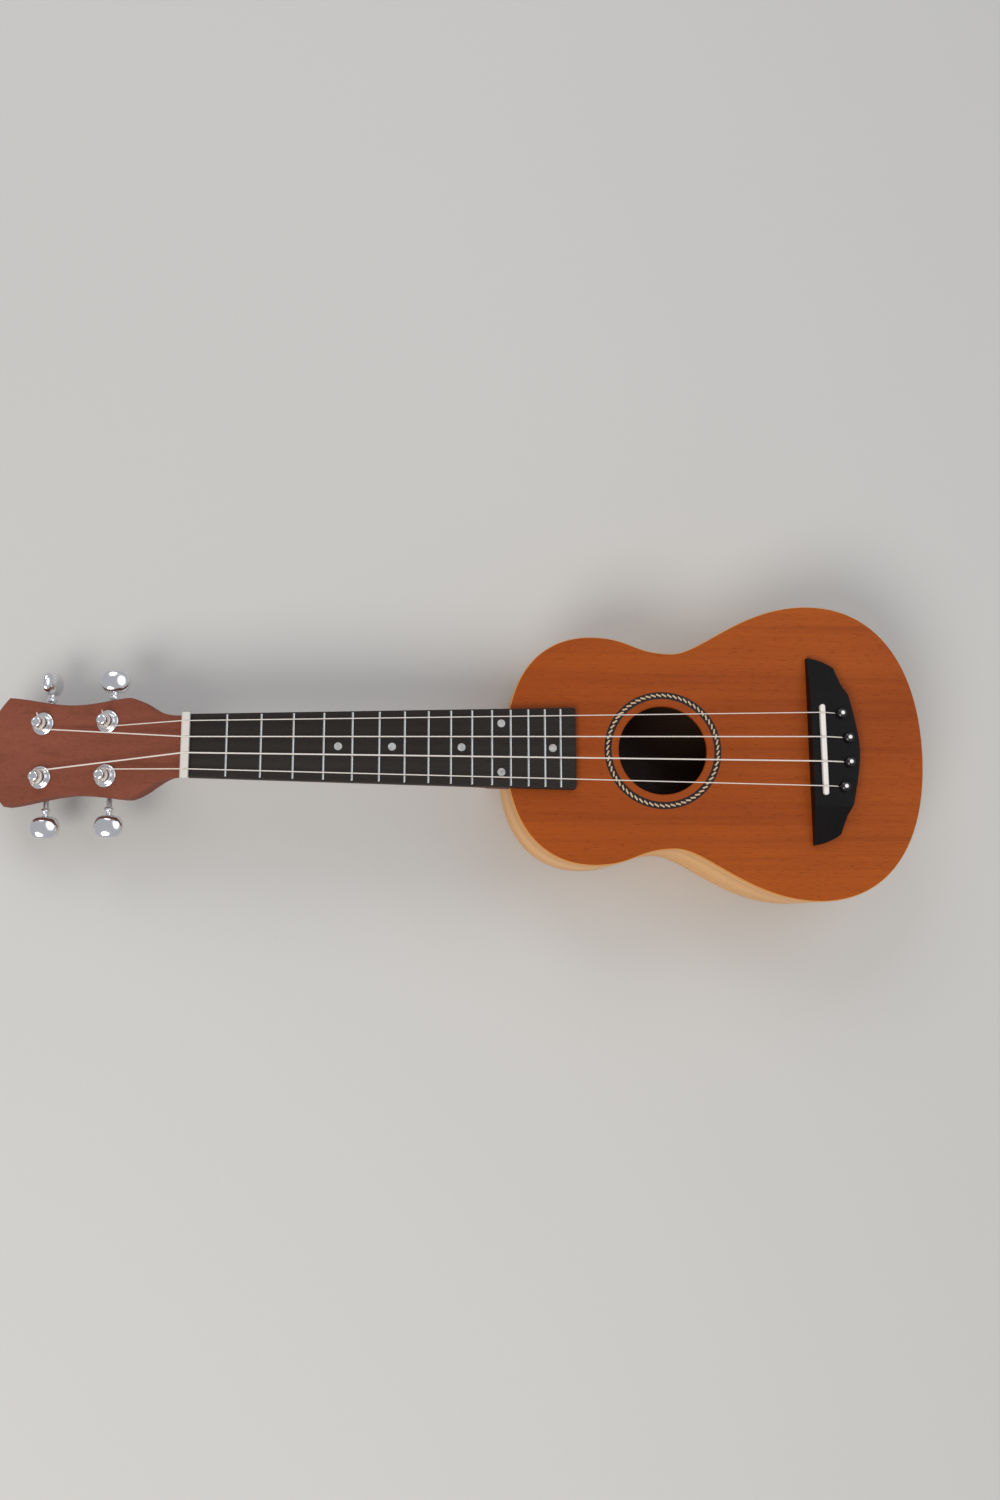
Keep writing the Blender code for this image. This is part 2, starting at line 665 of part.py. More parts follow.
def make_fingerboard(surface):
    start, end = NUT_X, BOARD_END_X
    near, far = board_half_width(start), board_half_width(end)
    round_off = BOARD_CORNER
    outline = (
        (start, -near),
        (end - round_off, -far),
        (end, -far + round_off),
        (end, far - round_off),
        (end - round_off, far),
        (start, near),
    )
    board = add_object(
        "fingerboard", prism(bmesh.new(), outline, BOARD_Z, BOARD_TOP_Z), surface
    )
    frets = bmesh.new()
    half = FRET_CROWN_WIDTH / 2
    for number in range(1, FRET_COUNT + 1):
        x = fret_x(number)
        reach = board_half_width(x) - FRET_END_INSET
        profile = [(-half, BOARD_TOP_Z - FRET_SEAT), (half, BOARD_TOP_Z - FRET_SEAT)]
        profile += [(half * cos(a), BOARD_TOP_Z + FRET_CROWN_HEIGHT * sin(a)) for a in arc(0, pi)]
        skin(frets, [[(x + a, y, z) for a, z in profile] for y in (-reach, reach)])
    cross_with(board, frets, "UNION")


def string_across(step, spread):
    return step * spread / 6


def string_height_at_nut(radius):
    return FRET_TOP_Z + STRING_ABOVE_FRETS + radius


def upright(x, across, low, high):
    """The four corners of a rectangle that stands across the strings."""
    return [(x, across[0], low), (x, across[1], low), (x, across[1], high), (x, across[0], high)]


def make_nut(surface):
    half = BOARD_NUT_WIDTH / 2 + NUT_OVERHANG
    back, front = NUT_X - GAP - NUT_THICKNESS, NUT_X - GAP
    top_z = TOP_Z + NUT_HEIGHT
    profile = (
        (back, TOP_Z + GAP),
        (front, TOP_Z + GAP),
        (front, top_z),
        (back + NUT_EASE, top_z),
        (back, top_z - 2 * NUT_EASE),
    )
    bar = skin(bmesh.new(), [[(x, y, z) for x, z in profile] for y in (-half, half)])
    nut = add_object("nut", bar, surface)
    slots = bmesh.new()
    for _, step, radius, *_ in STRINGS:
        y = string_across(step, STRING_SPREAD_AT_NUT)
        low_z = string_height_at_nut(radius) - radius - GAP
        reach = radius + GAP
        fall = (NUT_THICKNESS + 2 * PAST) * NUT_SLOT_SLOPE
        floor = ((front + PAST, low_z), (front - PAST, low_z), (back - PAST, low_z - fall))
        across = (y - reach, y + reach)
        skin(slots, [upright(x, across, z, top_z + 2 * PAST) for x, z in floor])
    cross_with(nut, slots)


# ---------------------------------------------------------------- bridge
def pin_places():
    for _, step, *_ in STRINGS:
        back = INNER_PIN_BACK if abs(step) == 1 else OUTER_PIN_BACK
        yield SADDLE_X + back, string_across(step, STRING_SPREAD_AT_SADDLE)


def thickest():
    return max(radius for _, _, radius, *_ in STRINGS)


def pin_hole(bm, x, y, low, high):
    """A pin's hole, with room for the string at its front."""
    radius, reach = PIN_RADIUS + GAP, thickest() + GAP
    open_half = asin(reach / radius)
    outline = [
        (x + radius * cos(a), y + radius * sin(a))
        for a in arc(-pi + open_half, pi - open_half, ROUND - 2)
    ]
    front = x - radius - GAP
    outline += [(front, y + reach), (front, y - reach)]
    return prism(bm, outline, low, high)


def bridge_outline():
    tip = BRIDGE_LENGTH / 2
    block, wing = BRIDGE_BLOCK_WIDTH / 2, BRIDGE_WING_WIDTH / 2
    back, front = SADDLE_X + BRIDGE_BACK, SADDLE_X - BRIDGE_FRONT
    shoulder_x, step_x = back - BRIDGE_SHOULDER_IN, back - BRIDGE_STEP_IN
    shoulder = (shoulder_x, block - 2 * PAST)
    arch = ((back, 0), (back, block * 0.30), (back - BRIDGE_ARCH_FALL, block * 0.72), shoulder)
    step = (
        shoulder,
        (shoulder_x - PAST, block + PAST),
        (step_x + PAST, block + BRIDGE_STEP_WIDTH / 2),
        (step_x, block + BRIDGE_STEP_WIDTH),
    )
    half = [bezier(arch, i / BRIDGE_ARCH_STEPS)[0] for i in range(BRIDGE_ARCH_STEPS)]
    half += [bezier(step, i / BRIDGE_STEP_STEPS)[0] for i in range(BRIDGE_STEP_STEPS + 1)]
    half += [Vector((back - BRIDGE_WING_IN, wing)), Vector((front, tip))]
    upper = [(p.x, p.y) for p in half]
    return upper + [(x, -y) for x, y in reversed(upper[1:])]


def make_bridge(surface):
    bridge = add_object(
        "bridge",
        prism(bmesh.new(), bridge_outline(), TOP_Z + GAP, TOP_Z + BRIDGE_HEIGHT + FAR_PAST),
        surface,
    )
    block, tip = BRIDGE_BLOCK_WIDTH / 2, BRIDGE_LENGTH / 2 + PAST
    low, tall, thin = TOP_Z - PAST, TOP_Z + BRIDGE_HEIGHT, TOP_Z + BRIDGE_TIP_HEIGHT
    side_view = ((-tip, low), (tip, low), (tip, thin), (block, tall), (-block, tall), (-tip, thin))
    ends = (SADDLE_X - BRIDGE_FRONT - PAST, SADDLE_X + BRIDGE_BACK + PAST)
    keep = skin(bmesh.new(), [[(x, y, z) for y, z in side_view] for x in ends])
    cross_with(bridge, keep, "INTERSECT")

    cutter = saddle_shape(bmesh.new(), GAP, tall - SADDLE_SLOT_DEPTH, tall + PAST)
    for x, y in pin_places():
        pin_hole(cutter, x, y, low - PAST, tall + PAST)
    cross_with(bridge, cutter)
    ramps = bmesh.new()
    reach = thickest() + GAP
    for x, y in pin_places():
        front = x - PIN_RADIUS - GAP
        ramp_front = x - PIN_HEAD_RADIUS - RAMP_LENGTH
        side_on = (
            (x, tall - RAMP_DEPTH),
            (front, tall - RAMP_DEPTH),
            (ramp_front, tall),
            (ramp_front, tall + 2 * PAST),
            (x, tall + 2 * PAST),
        )
        skin(ramps, [[(a, y + b, z) for a, z in side_on] for b in (-reach, reach)])
    cross_with(bridge, ramps)


def saddle_shape(bm, grow, low, high):
    """A bar with round ends, standing across the strings."""
    half, radius = SADDLE_LENGTH / 2 - SADDLE_THICKNESS / 2, SADDLE_THICKNESS / 2 + grow
    outline = [(SADDLE_X + radius * cos(a), half + radius * sin(a)) for a in arc(0, pi)]
    outline += [(SADDLE_X + radius * cos(a), -half + radius * sin(a)) for a in arc(pi, 2 * pi)]
    return prism(bm, outline, low, high)


def arc(start, end, steps=6):
    return [start + (end - start) * i / steps for i in range(steps + 1)]


def make_saddle(surface):
    low = TOP_Z + BRIDGE_HEIGHT - SADDLE_SLOT_DEPTH + GAP
    bar = saddle_shape(bmesh.new(), 0, low, TOP_Z + STRING_ON_SADDLE)
    add_object("saddle", bar, surface)


def make_pins(surface):
    seat = TOP_Z + BRIDGE_HEIGHT + GAP
    profile = [
        (PIN_RADIUS * 0.9, seat - PIN_LENGTH),
        (PIN_RADIUS, seat - PAST / 2),
        (PIN_RADIUS, seat),
    ]
    profile += [(PIN_HEAD_RADIUS * 0.93, seat), (PIN_HEAD_RADIUS, seat + PIN_HEAD_HEIGHT * 0.3)]
    profile += [
        (PIN_HEAD_RADIUS * cos(a), seat + PIN_HEAD_HEIGHT * (0.3 + 0.7 * sin(a)))
        for a in (radians(35), radians(70))
    ]
    reach = thickest() + GAP
    for (name, *_), (x, y) in zip(STRINGS, pin_places()):
        pin = turned(bmesh.new(), profile, 12, (x, y))
        thing = add_object(f"bridge_pin_{name}", pin, surface, smooth=True)
        low = (x - PIN_RADIUS - PAST, y - reach, seat - PIN_LENGTH - PAST)
        high = (x - PIN_RADIUS + PIN_GROOVE_DEPTH, y + reach, seat - GAP)
        cross_with(thing, box(bmesh.new(), low, high))


# ---------------------------------------------------------------- strings
def post_tangent(side, post_at, radius):
    """Where a string leaves its post: on the post's inner side, above the head's face."""
    across = side * (POST_SPREAD / 2 - POST_RADIUS - GAP - radius)
    return head_place(post_at, across, string_up(radius))


def string_up(radius):
    """Height of the winding's lowest turn above the head's face."""
    return GAP + WASHER_THICKNESS + BUSHING_HEAD_HEIGHT + GAP + radius


def make_string(name, step, radius, post_at, surface):
    side = 1 if step > 0 else -1
    nut_y = string_across(step, STRING_SPREAD_AT_NUT)
    saddle_y = string_across(step, STRING_SPREAD_AT_SADDLE)
    nut_z = string_height_at_nut(radius)
    pin_back = INNER_PIN_BACK if abs(step) == 1 else OUTER_PIN_BACK
    pin_x = SADDLE_X + pin_back
    crown = TOP_Z + STRING_ON_SADDLE + radius + GAP
    bridge_top = TOP_Z + BRIDGE_HEIGHT
    post = post_tangent(side, post_at, radius)
    nut_back = Vector((NUT_X - GAP - 0.0012, nut_y, nut_z - 0.00005))
    # The string stops where the turning coil's outer edge would pass.
    clear = sqrt((POST_RADIUS + 2 * radius + 2 * GAP) ** 2 - (POST_RADIUS + GAP + radius) ** 2)
    leave = post + (nut_back - post).normalized() * clear
    groove_x = pin_x - PIN_RADIUS + PIN_GROOVE_DEPTH / 2
    end_z = TOP_UNDER_Z - BRIDGE_PLATE_THICKNESS - STRING_PAST_PLATE
    route = [
        (leave, 1),
        (nut_back, 1),
        (Vector((NUT_X, nut_y, nut_z)), 1),
        (Vector((SADDLE_X - SADDLE_THICKNESS / 2, saddle_y, crown)), 1),
        (Vector((SADDLE_X + SADDLE_THICKNESS / 2 + GAP / 2, saddle_y, crown)), 1),
        (Vector((pin_x - PIN_HEAD_RADIUS - 0.0010, saddle_y, bridge_top + radius)), 1),
        (Vector((groove_x - 0.0009, saddle_y, bridge_top - 0.0016)), 1),
        (Vector((groove_x - 0.0004, saddle_y, bridge_top - 0.0034)), 1),
        (Vector((groove_x - 0.0004, saddle_y, end_z)), 1),
    ]
    tube(f"string_{name}", route, radius, surface)


def tube(name, route, radius, surface, sides=2, parent=None):
    """A round string along its points, each with its own share of the radius."""
    curve = bpy.data.curves.new(name, "CURVE")
    curve.dimensions = "3D"
    curve.bevel_depth = radius
    curve.bevel_resolution = sides
    curve.use_fill_caps = True
    curve.resolution_u = 1
    spline = curve.splines.new("POLY")
    spline.points.add(len(route) - 1)
    for point, (place, share) in zip(spline.points, route):
        point.co = (*place, 1)
        point.radius = share
    curve.materials.append(surface)
    thing = bpy.data.objects.new(name, curve)
    bpy.context.scene.collection.objects.link(thing)
    thing.parent = parent
    return thing


# ---------------------------------------------------------------- tuners
def tuner_places():
    for name, step, _, post_at, _ in STRINGS:
        yield name, (1 if step > 0 else -1), post_at


def screw_across():
    """Across the head from the centre line to a case's screw."""
    case_half = WHEEL_OUTER + RUNNING_GAP + CASE_WALL
    return POST_SPREAD / 2 - case_half - CASE_TAB_LENGTH / 2


def make_case(name, side, post_at, steel):
    """The gear housing on the head's back face, open towards the head, with its screw's tab."""
    frame = add_empty(f"tuner_{name}", Vector(), head_matrix())
    px, py = head_flat(post_at, side * POST_SPREAD / 2)
    half_y = WHEEL_OUTER + RUNNING_GAP + CASE_WALL
    low_x = px - CENTRE_DISTANCE - WORM_OUTER - RUNNING_GAP - CASE_WALL
    high_x = px + half_y
    top = -HEAD_THICKNESS - GAP
    floor = WHEEL_UP - max(WHEEL_THICKNESS / 2, WORM_OUTER) - RUNNING_GAP
    bottom = floor - CASE_FLOOR
    case = add_object(
        f"tuner_case_{name}",
        box(bmesh.new(), (low_x, py - half_y, bottom), (high_x, py + half_y, top)),
        steel,
        frame,
    )
    tab_in = side * screw_across() - side * CASE_TAB_LENGTH / 2
    tab_y = sorted((tab_in, py))
    tab_half = SCREW_HEAD_RADIUS + CASE_WALL
    tab = box(
        bmesh.new(),
        (px - tab_half, tab_y[0], top - CASE_TAB_THICKNESS),
        (px + tab_half, tab_y[1], top),
    )
    tab_thing = add_object(f"tab_guide_{name}", tab, None, frame)
    boolean(case, tab_thing, "UNION")
    cutter = box(
        bmesh.new(),
        (low_x + CASE_WALL, py - half_y + CASE_WALL, floor),
        (high_x - CASE_WALL, py + half_y - CASE_WALL, top + 2 * PAST),
    )
    hollow = add_object(f"hollow_guide_{name}", cutter, None, frame)
    boolean(case, hollow)
    bores = bmesh.new()
    drum(bores, JOURNAL_RADIUS + RUNNING_GAP, bottom - PAST, floor + PAST, (px, py), 12)
    drum(
        bores,
        SCREW_RADIUS + GAP,
        top - CASE_TAB_THICKNESS - PAST,
        top + PAST,
        (px, side * screw_across()),
        8,
    )
    worm_x = px - CENTRE_DISTANCE
    shaft = WORM_SHAFT_RADIUS + RUNNING_GAP
    rings = [
        [(worm_x + a, y, WHEEL_UP + b) for a, b in circle(shaft, sides=12)]
        for y in (py - half_y - PAST, py + half_y + PAST)
    ]
    skin(bores, rings)
    boolean(case, add_object(f"bore_guide_{name}", bores, None, frame))

    sleeve = bmesh.new()
    bore = POST_RADIUS + RUNNING_GAP
    washer_top = GAP + WASHER_THICKNESS
    corners = (
        (bore, -HEAD_THICKNESS),
        (BUSHING_RADIUS, -HEAD_THICKNESS),
        (BUSHING_RADIUS, GAP),
        (WASHER_RADIUS, GAP),
        (WASHER_RADIUS, washer_top),
        (BUSHING_HEAD_RADIUS, washer_top),
        (BUSHING_HEAD_RADIUS, washer_top + BUSHING_HEAD_HEIGHT),
        (bore, washer_top + BUSHING_HEAD_HEIGHT),
    )
    turned_tube(sleeve, corners, (px, py))
    add_object(f"tuner_bushing_{name}", sleeve, steel, frame, smooth=True)
    return frame


def make_screw(name, side, post_at, steel, frame):
    """The small screw that holds a case's tab to the head's back face."""
    tab_back = -HEAD_THICKNESS - GAP - CASE_TAB_THICKNESS - GAP
    profile = (
        (SCREW_HEAD_RADIUS * 0.6, tab_back - SCREW_HEAD_HEIGHT),
        (SCREW_HEAD_RADIUS, tab_back),
        (SCREW_RADIUS, tab_back),
        (SCREW_RADIUS * 0.5, tab_back + SCREW_LENGTH),
    )
    screw = turned(bmesh.new(), profile, 10, head_flat(post_at, side * screw_across()))
    add_object(f"tuner_screw_{name}", screw, steel, frame, smooth=True)


def make_post(name, side, post_at, radius, steel, brass, nylon):
    """The string post, its worm wheel and the string wound on it, which turn together."""
    place = head_place(post_at, side * POST_SPREAD / 2, 0)
    axis = add_empty(f"post_axis_{name}", place, head_matrix().to_3x3().to_4x4())
    floor = WHEEL_UP - max(WHEEL_THICKNESS / 2, WORM_OUTER) - RUNNING_GAP
    wheel_seat = POST_RADIUS * 0.75
    shoulder = WHEEL_UP + WHEEL_THICKNESS / 2 + GAP
    profile = (
        (JOURNAL_RADIUS, floor - CASE_FLOOR),
        (JOURNAL_RADIUS, WHEEL_UP - WHEEL_THICKNESS / 2 - GAP),
        (wheel_seat, WHEEL_UP - WHEEL_THICKNESS / 2 - GAP),
        (wheel_seat, shoulder),
        (POST_RADIUS, shoulder),
        (POST_RADIUS, POST_HEIGHT - 0.0006),
        (POST_RADIUS * 0.8, POST_HEIGHT),
    )
    post = add_object(f"tuner_post_{name}", turned(bmesh.new(), profile), steel, axis, smooth=True)
    drill_up = POST_HEIGHT - POST_HOLE_BELOW_TOP
    rings = [
        [(a, y, drill_up + b) for a, b in circle(POST_HOLE_RADIUS, sides=8)]
        for y in (-POST_RADIUS - PAST, POST_RADIUS + PAST)
    ]
    drill = add_object(f"drill_guide_{name}", skin(bmesh.new(), rings), None, axis)
    boolean(post, drill)

    outline = []
    points = WHEEL_TEETH * 4
    for i in range(points):
        turn = 2 * pi * i / points
        # A tooth's root faces the worm, which lies towards the head's tip.
        reach = WHEEL_PITCH_RADIUS - TOOTH_HALF_HEIGHT * cos(WHEEL_TEETH * (turn - pi))
        outline.append((reach * cos(turn), reach * sin(turn)))
    low, high = WHEEL_UP - WHEEL_THICKNESS / 2, WHEEL_UP + WHEEL_THICKNESS / 2
    wheel = add_object(f"worm_wheel_{name}", prism(bmesh.new(), outline, low, high), brass, axis)
    bore = drum(bmesh.new(), wheel_seat + GAP, low - PAST, high + PAST)
    boolean(wheel, add_object(f"wheel_bore_guide_{name}", bore, None, axis))

    coil = []
    per_turn = 8
    reach = POST_RADIUS + GAP + radius
    start = -side * pi / 2
    for i in range(WINDING_TURNS * per_turn + 1):
        turn = start - side * 2 * pi * i / per_turn
        rise = string_up(radius) + i / per_turn * (2 * radius + WINDING_GAP)
        coil.append((Vector((reach * cos(turn), reach * sin(turn), rise)), 1))
    tube(f"winding_{name}", coil, radius, nylon, 1, axis)


def make_button(name, side, post_at, turn, chrome, steel):
    """The knob and the worm on its shaft, which turn together about a line across the head."""
    place = head_place(post_at + CENTRE_DISTANCE, 0, WHEEL_UP)
    axis = add_empty(f"button_axis_{name}", place, head_matrix().to_3x3().to_4x4())
    post_y = side * POST_SPREAD / 2
    case_half = WHEEL_OUTER + RUNNING_GAP + CASE_WALL
    knob_in = BUTTON_OUT - BUTTON_LENGTH
    shaft_end = knob_in + BUTTON_LENGTH / 2
    worm_half = WORM_TURNS * WORM_PITCH / 2

    rows = []
    steps_along = WORM_TURNS * 4
    around = 10
    inner_end = POST_SPREAD / 2 - case_half
    ends_in = ((WORM_SHAFT_RADIUS, inner_end), (WORM_SHAFT_RADIUS, POST_SPREAD / 2 - worm_half - 0.0002))
    ends_out = ((WORM_SHAFT_RADIUS, POST_SPREAD / 2 + worm_half + 0.0002), (WORM_SHAFT_RADIUS, shaft_end))
    for reach, y in ends_in:
        rows.append([(reach * cos(a), side * y, reach * sin(a)) for a in ring_turns(around)])
    for i in range(steps_along + 1):
        from_mid = -worm_half + 2 * worm_half * i / steps_along
        row = []
        for a in ring_turns(around):
            phase = 2 * pi * from_mid / WORM_PITCH - a
            reach = WORM_PITCH_RADIUS + TOOTH_HALF_HEIGHT * cos(phase)
            row.append((reach * cos(a), post_y + from_mid, reach * sin(a)))
        rows.append(row)
    if side < 0:
        rows[2:] = rows[:1:-1]
    for reach, y in ends_out:
        rows.append([(reach * cos(a), side * y, reach * sin(a)) for a in ring_turns(around)])
    add_object(f"worm_{name}", skin(bmesh.new(), rows), steel, axis, smooth=True)

    knob = bmesh.new()
    rings = []
    collar_in = knob_in - COLLAR_LENGTH
    for reach, y in (
        (COLLAR_RADIUS * 0.75, collar_in),
        (COLLAR_RADIUS, collar_in + 0.0008),
        (COLLAR_RADIUS, collar_in + 0.0020),
        (COLLAR_RADIUS * 0.7, collar_in + 0.0028),
        (COLLAR_RADIUS * 0.7, knob_in),
    ):
        rings.append([(reach * cos(a), side * y, reach * sin(a)) for a in ring_turns(ROUND)])
    for i in range(1, 7):
        lean = -pi / 2 + pi * (i + 0.55) / 7.4
        swell = cos(lean) ** 0.7
        y = knob_in + BUTTON_LENGTH / 2 * (1 + sin(lean))
        wide, thick = BUTTON_WIDTH / 2 * swell, BUTTON_THICKNESS / 2 * swell
        rings.append([(wide * cos(a), side * y, thick * sin(a)) for a in ring_turns(ROUND)])
    skin(knob, rings)
    knob.transform(Matrix.Rotation(turn, 4, "Y"))
    thing = add_object(f"button_{name}", knob, chrome, axis, smooth=True)
    hole = bmesh.new()
    reach = WORM_SHAFT_RADIUS + GAP
    ends = (collar_in - PAST, shaft_end + GAP)
    circles = [
        [(reach * cos(a), side * y, reach * sin(a)) for a in ring_turns(ROUND)] for y in ends
    ]
    boolean(thing, add_object(f"button_bore_guide_{name}", skin(hole, circles), None, axis))


def ring_turns(sides):
    return [2 * pi * i / sides for i in range(sides)]


# ---------------------------------------------------------------- the whole
def main():
    clear_scene()
    wood = {
        "top": finish("top_wood", (0.52, 0.20, 0.06), 0.45),
        "side": finish("side_wood", (0.62, 0.40, 0.20), 0.45),
        "neck": finish("neck_wood", (0.36, 0.13, 0.06), 0.6),
        "board": finish("board_wood", (0.03, 0.02, 0.018), 0.6),
        "block": finish("block_wood", (0.55, 0.38, 0.22), 0.8),
        "brace": finish("brace_wood", (0.70, 0.55, 0.35), 0.8),
        "maple": finish("maple", (0.72, 0.56, 0.38), 0.7),
        "dowel": finish("dowel_wood", (0.66, 0.50, 0.32), 0.7),
    }
    bone = finish("white_bone", (0.85, 0.82, 0.76), 0.35)
    inlay = finish("inlay", (0.75, 0.68, 0.52), 0.4)
    black = finish("black_satin", (0.015, 0.013, 0.013), 0.4)
    pin_black = finish("pin_black", (0.01, 0.01, 0.01), 0.2)
    chrome = finish("chrome", (0.8, 0.8, 0.82), 0.08, 1.0)
    steel = finish("steel", (0.6, 0.6, 0.62), 0.3, 1.0)
    brass = finish("brass", (0.75, 0.55, 0.25), 0.35, 1.0)
    nylon = finish("nylon", (0.88, 0.86, 0.80), 0.3)

    make_body(wood)
    make_linings(wood)
    make_braces(wood)
    make_rosette(inlay)
    make_neck(wood["neck"])
    make_fingerboard(wood["board"])
    make_nut(bone)
    make_bridge(black)
    make_saddle(bone)
    make_pins(pin_black)
    for name, step, radius, post_at, turn in STRINGS:
        side = 1 if step > 0 else -1
        make_string(name, step, radius, post_at, nylon)
        frame = make_case(name, side, post_at, chrome)
        make_screw(name, side, post_at, steel, frame)
        make_post(name, side, post_at, radius, chrome, brass, nylon)
        make_button(name, side, post_at, turn, chrome, steel)


main()
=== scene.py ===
from math import cos, pi, radians, sin, sqrt

import bmesh
import bpy
from bpy.props import FloatProperty, FloatVectorProperty, IntProperty, PointerProperty
from mathutils import Euler, Matrix, Vector


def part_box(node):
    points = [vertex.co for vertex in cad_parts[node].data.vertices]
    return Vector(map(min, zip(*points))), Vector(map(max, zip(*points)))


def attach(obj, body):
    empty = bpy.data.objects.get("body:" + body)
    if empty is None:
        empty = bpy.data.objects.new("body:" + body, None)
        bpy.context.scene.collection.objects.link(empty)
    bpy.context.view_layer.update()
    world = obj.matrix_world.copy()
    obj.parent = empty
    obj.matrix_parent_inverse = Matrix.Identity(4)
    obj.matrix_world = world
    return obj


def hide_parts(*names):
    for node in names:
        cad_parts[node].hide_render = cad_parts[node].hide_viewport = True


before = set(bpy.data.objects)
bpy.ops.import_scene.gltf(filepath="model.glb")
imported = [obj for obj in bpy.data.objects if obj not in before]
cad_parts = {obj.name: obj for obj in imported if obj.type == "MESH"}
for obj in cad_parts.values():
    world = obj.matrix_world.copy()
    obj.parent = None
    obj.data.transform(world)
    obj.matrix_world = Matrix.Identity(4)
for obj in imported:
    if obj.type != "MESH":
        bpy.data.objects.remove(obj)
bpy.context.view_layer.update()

bl_info = {
    "name": "Soprano Ukulele",
    "version": (1, 0, 0),
    "blender": (4, 5, 0),
    "location": "3D View > Sidebar > Ukulele",
    "description": "Builds the finished pieces of a soprano ukulele round its packed frame",
    "category": "Add Mesh",
}

# ---- places read from the frame
TOP_LOW, TOP_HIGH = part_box("soundboard")
BACK_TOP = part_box("back_plate")[1].z
PLATE_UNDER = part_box("bridge_plate")[0].z
BOARD_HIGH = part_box("fingerboard")[1]
NUT_LOW, NUT_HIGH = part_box("nut")
SADDLE_LOW, SADDLE_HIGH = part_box("saddle")
BRIDGE_LOW, BRIDGE_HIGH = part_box("bridge")
ROSETTE_LOW, ROSETTE_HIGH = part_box("rosette")

GAP = 0.0003
FRONT_X, TAIL_X = TOP_LOW.x, TOP_HIGH.x
TOP_Z, TOP_UNDER = TOP_HIGH.z, TOP_LOW.z
LOWER_HALF = TOP_HIGH.y
UPPER_HALF, WAIST_HALF = 0.0642, 0.0552
UPPER_AT, WAIST_AT, LOWER_AT = FRONT_X + 0.0484, FRONT_X + 0.0939, FRONT_X + 0.1742
FRONT_PULL, UPPER_PULL, WAIST_FRONT_PULL = 0.0497, 0.0226, 0.0218
WAIST_BACK_PULL, LOWER_PULL, TAIL_PULL = 0.0170, 0.0390, 0.0525
SIDE_THICKNESS = 0.0024
HOLE_X = (ROSETTE_LOW.x + ROSETTE_HIGH.x) / 2
HOLE_RADIUS = 0.0248
ROSETTE_INNER, ROSETTE_OUTER = HOLE_RADIUS + 0.0042, HOLE_RADIUS + 0.0082
ROSETTE_TEETH = 64

NUT_X = NUT_HIGH.x + GAP
SCALE_LENGTH = 0.346
SADDLE_X = (SADDLE_LOW.x + SADDLE_HIGH.x) / 2
BOARD_TOP = BOARD_HIGH.z - 0.0010
BOARD_END = BOARD_HIGH.x
BOARD_NUT_HALF, BOARD_END_HALF = 0.0172, BOARD_HIGH.y
FRET_COUNT = 15
FRET_HEIGHT, FRET_HALF = BOARD_HIGH.z - BOARD_TOP, 0.0008
MARKERS = ((5, 0.0), (7, 0.0), (10, 0.0), (12, 0.0135), (12, -0.0135), (15, 0.0))

HEAD_TILT = radians(14)
BREAK_X = NUT_LOW.x - 0.0015
HEAD_THICKNESS, HEAD_LENGTH = 0.0110, 0.1180
SHOULDER_AT, SHOULDER_HALF = 0.0295, 0.0279
NECKING_AT, NECKING_HALF = 0.0620, 0.0250
CORNER_AT, CORNER_HALF = 0.1030, 0.0306
NECK_DEPTH_NUT, NECK_DEPTH_HEEL, HEEL_DEPTH = 0.0125, 0.0140, 0.0520
HEEL_STEPS, HEEL_CROWDING, SHAFT_STEPS, HEAD_STEPS = 28, 1.6, 12, 14
# squareness of the neck's sections: 2 is an ellipse, and more is squarer
HEEL_SQUARENESS, SHAFT_SQUARENESS, NUT_SQUARENESS = 1.8, 2.0, 2.1
HEAD_SQUARING, HEAD_SQUARENESS, HEAD_BEND, HEAD_LEAN_AT_BREAK = 10, 12, 0.020, 0.6
HEEL_SWEEP, HEEL_CAP = 0.024, 0.010
DOWEL_RADIUS, DOWEL_REACH, DOWEL_Z = 0.0050, 0.012 + GAP, TOP_Z - 0.026

NEAR_POST, FAR_POST, POST_ACROSS = 0.0426, 0.0814, 0.0150
POST_RADIUS, POST_HEIGHT, POST_HOLE_UP = 0.0030, 0.0080, 0.0060
BUSHING_RADIUS, BUSHING_HEAD, WASHER_RADIUS = 0.0041, 0.0048, 0.0063
WASHER_TOP, BUSHING_TOP = 0.0013, 0.0029
WHEEL_OUTER, WORM_OUTER, CENTRES = 0.00445, 0.00235, 0.0062
WHEEL_UP = -HEAD_THICKNESS - 0.0058
CASE_WALL, CASE_FLOOR, TAB_LENGTH, TAB_THICKNESS = 0.0012, 0.0014, 0.0065, 0.0016
CASE_HALF = WHEEL_OUTER + GAP + CASE_WALL
SCREW_ACROSS = POST_ACROSS - CASE_HALF - TAB_LENGTH / 2
SCREW_RADIUS, SCREW_HEAD, SCREW_HEAD_HEIGHT, SCREW_LENGTH = 0.0011, 0.0019, 0.0010, 0.0070
SHAFT_RADIUS, BUTTON_OUT, BUTTON_LENGTH = 0.0015, 0.0478, 0.0130
BUTTON_WIDTH, BUTTON_THICKNESS = 0.0160, 0.0078
COLLAR_RADIUS, COLLAR_LENGTH = 0.0027, 0.0045

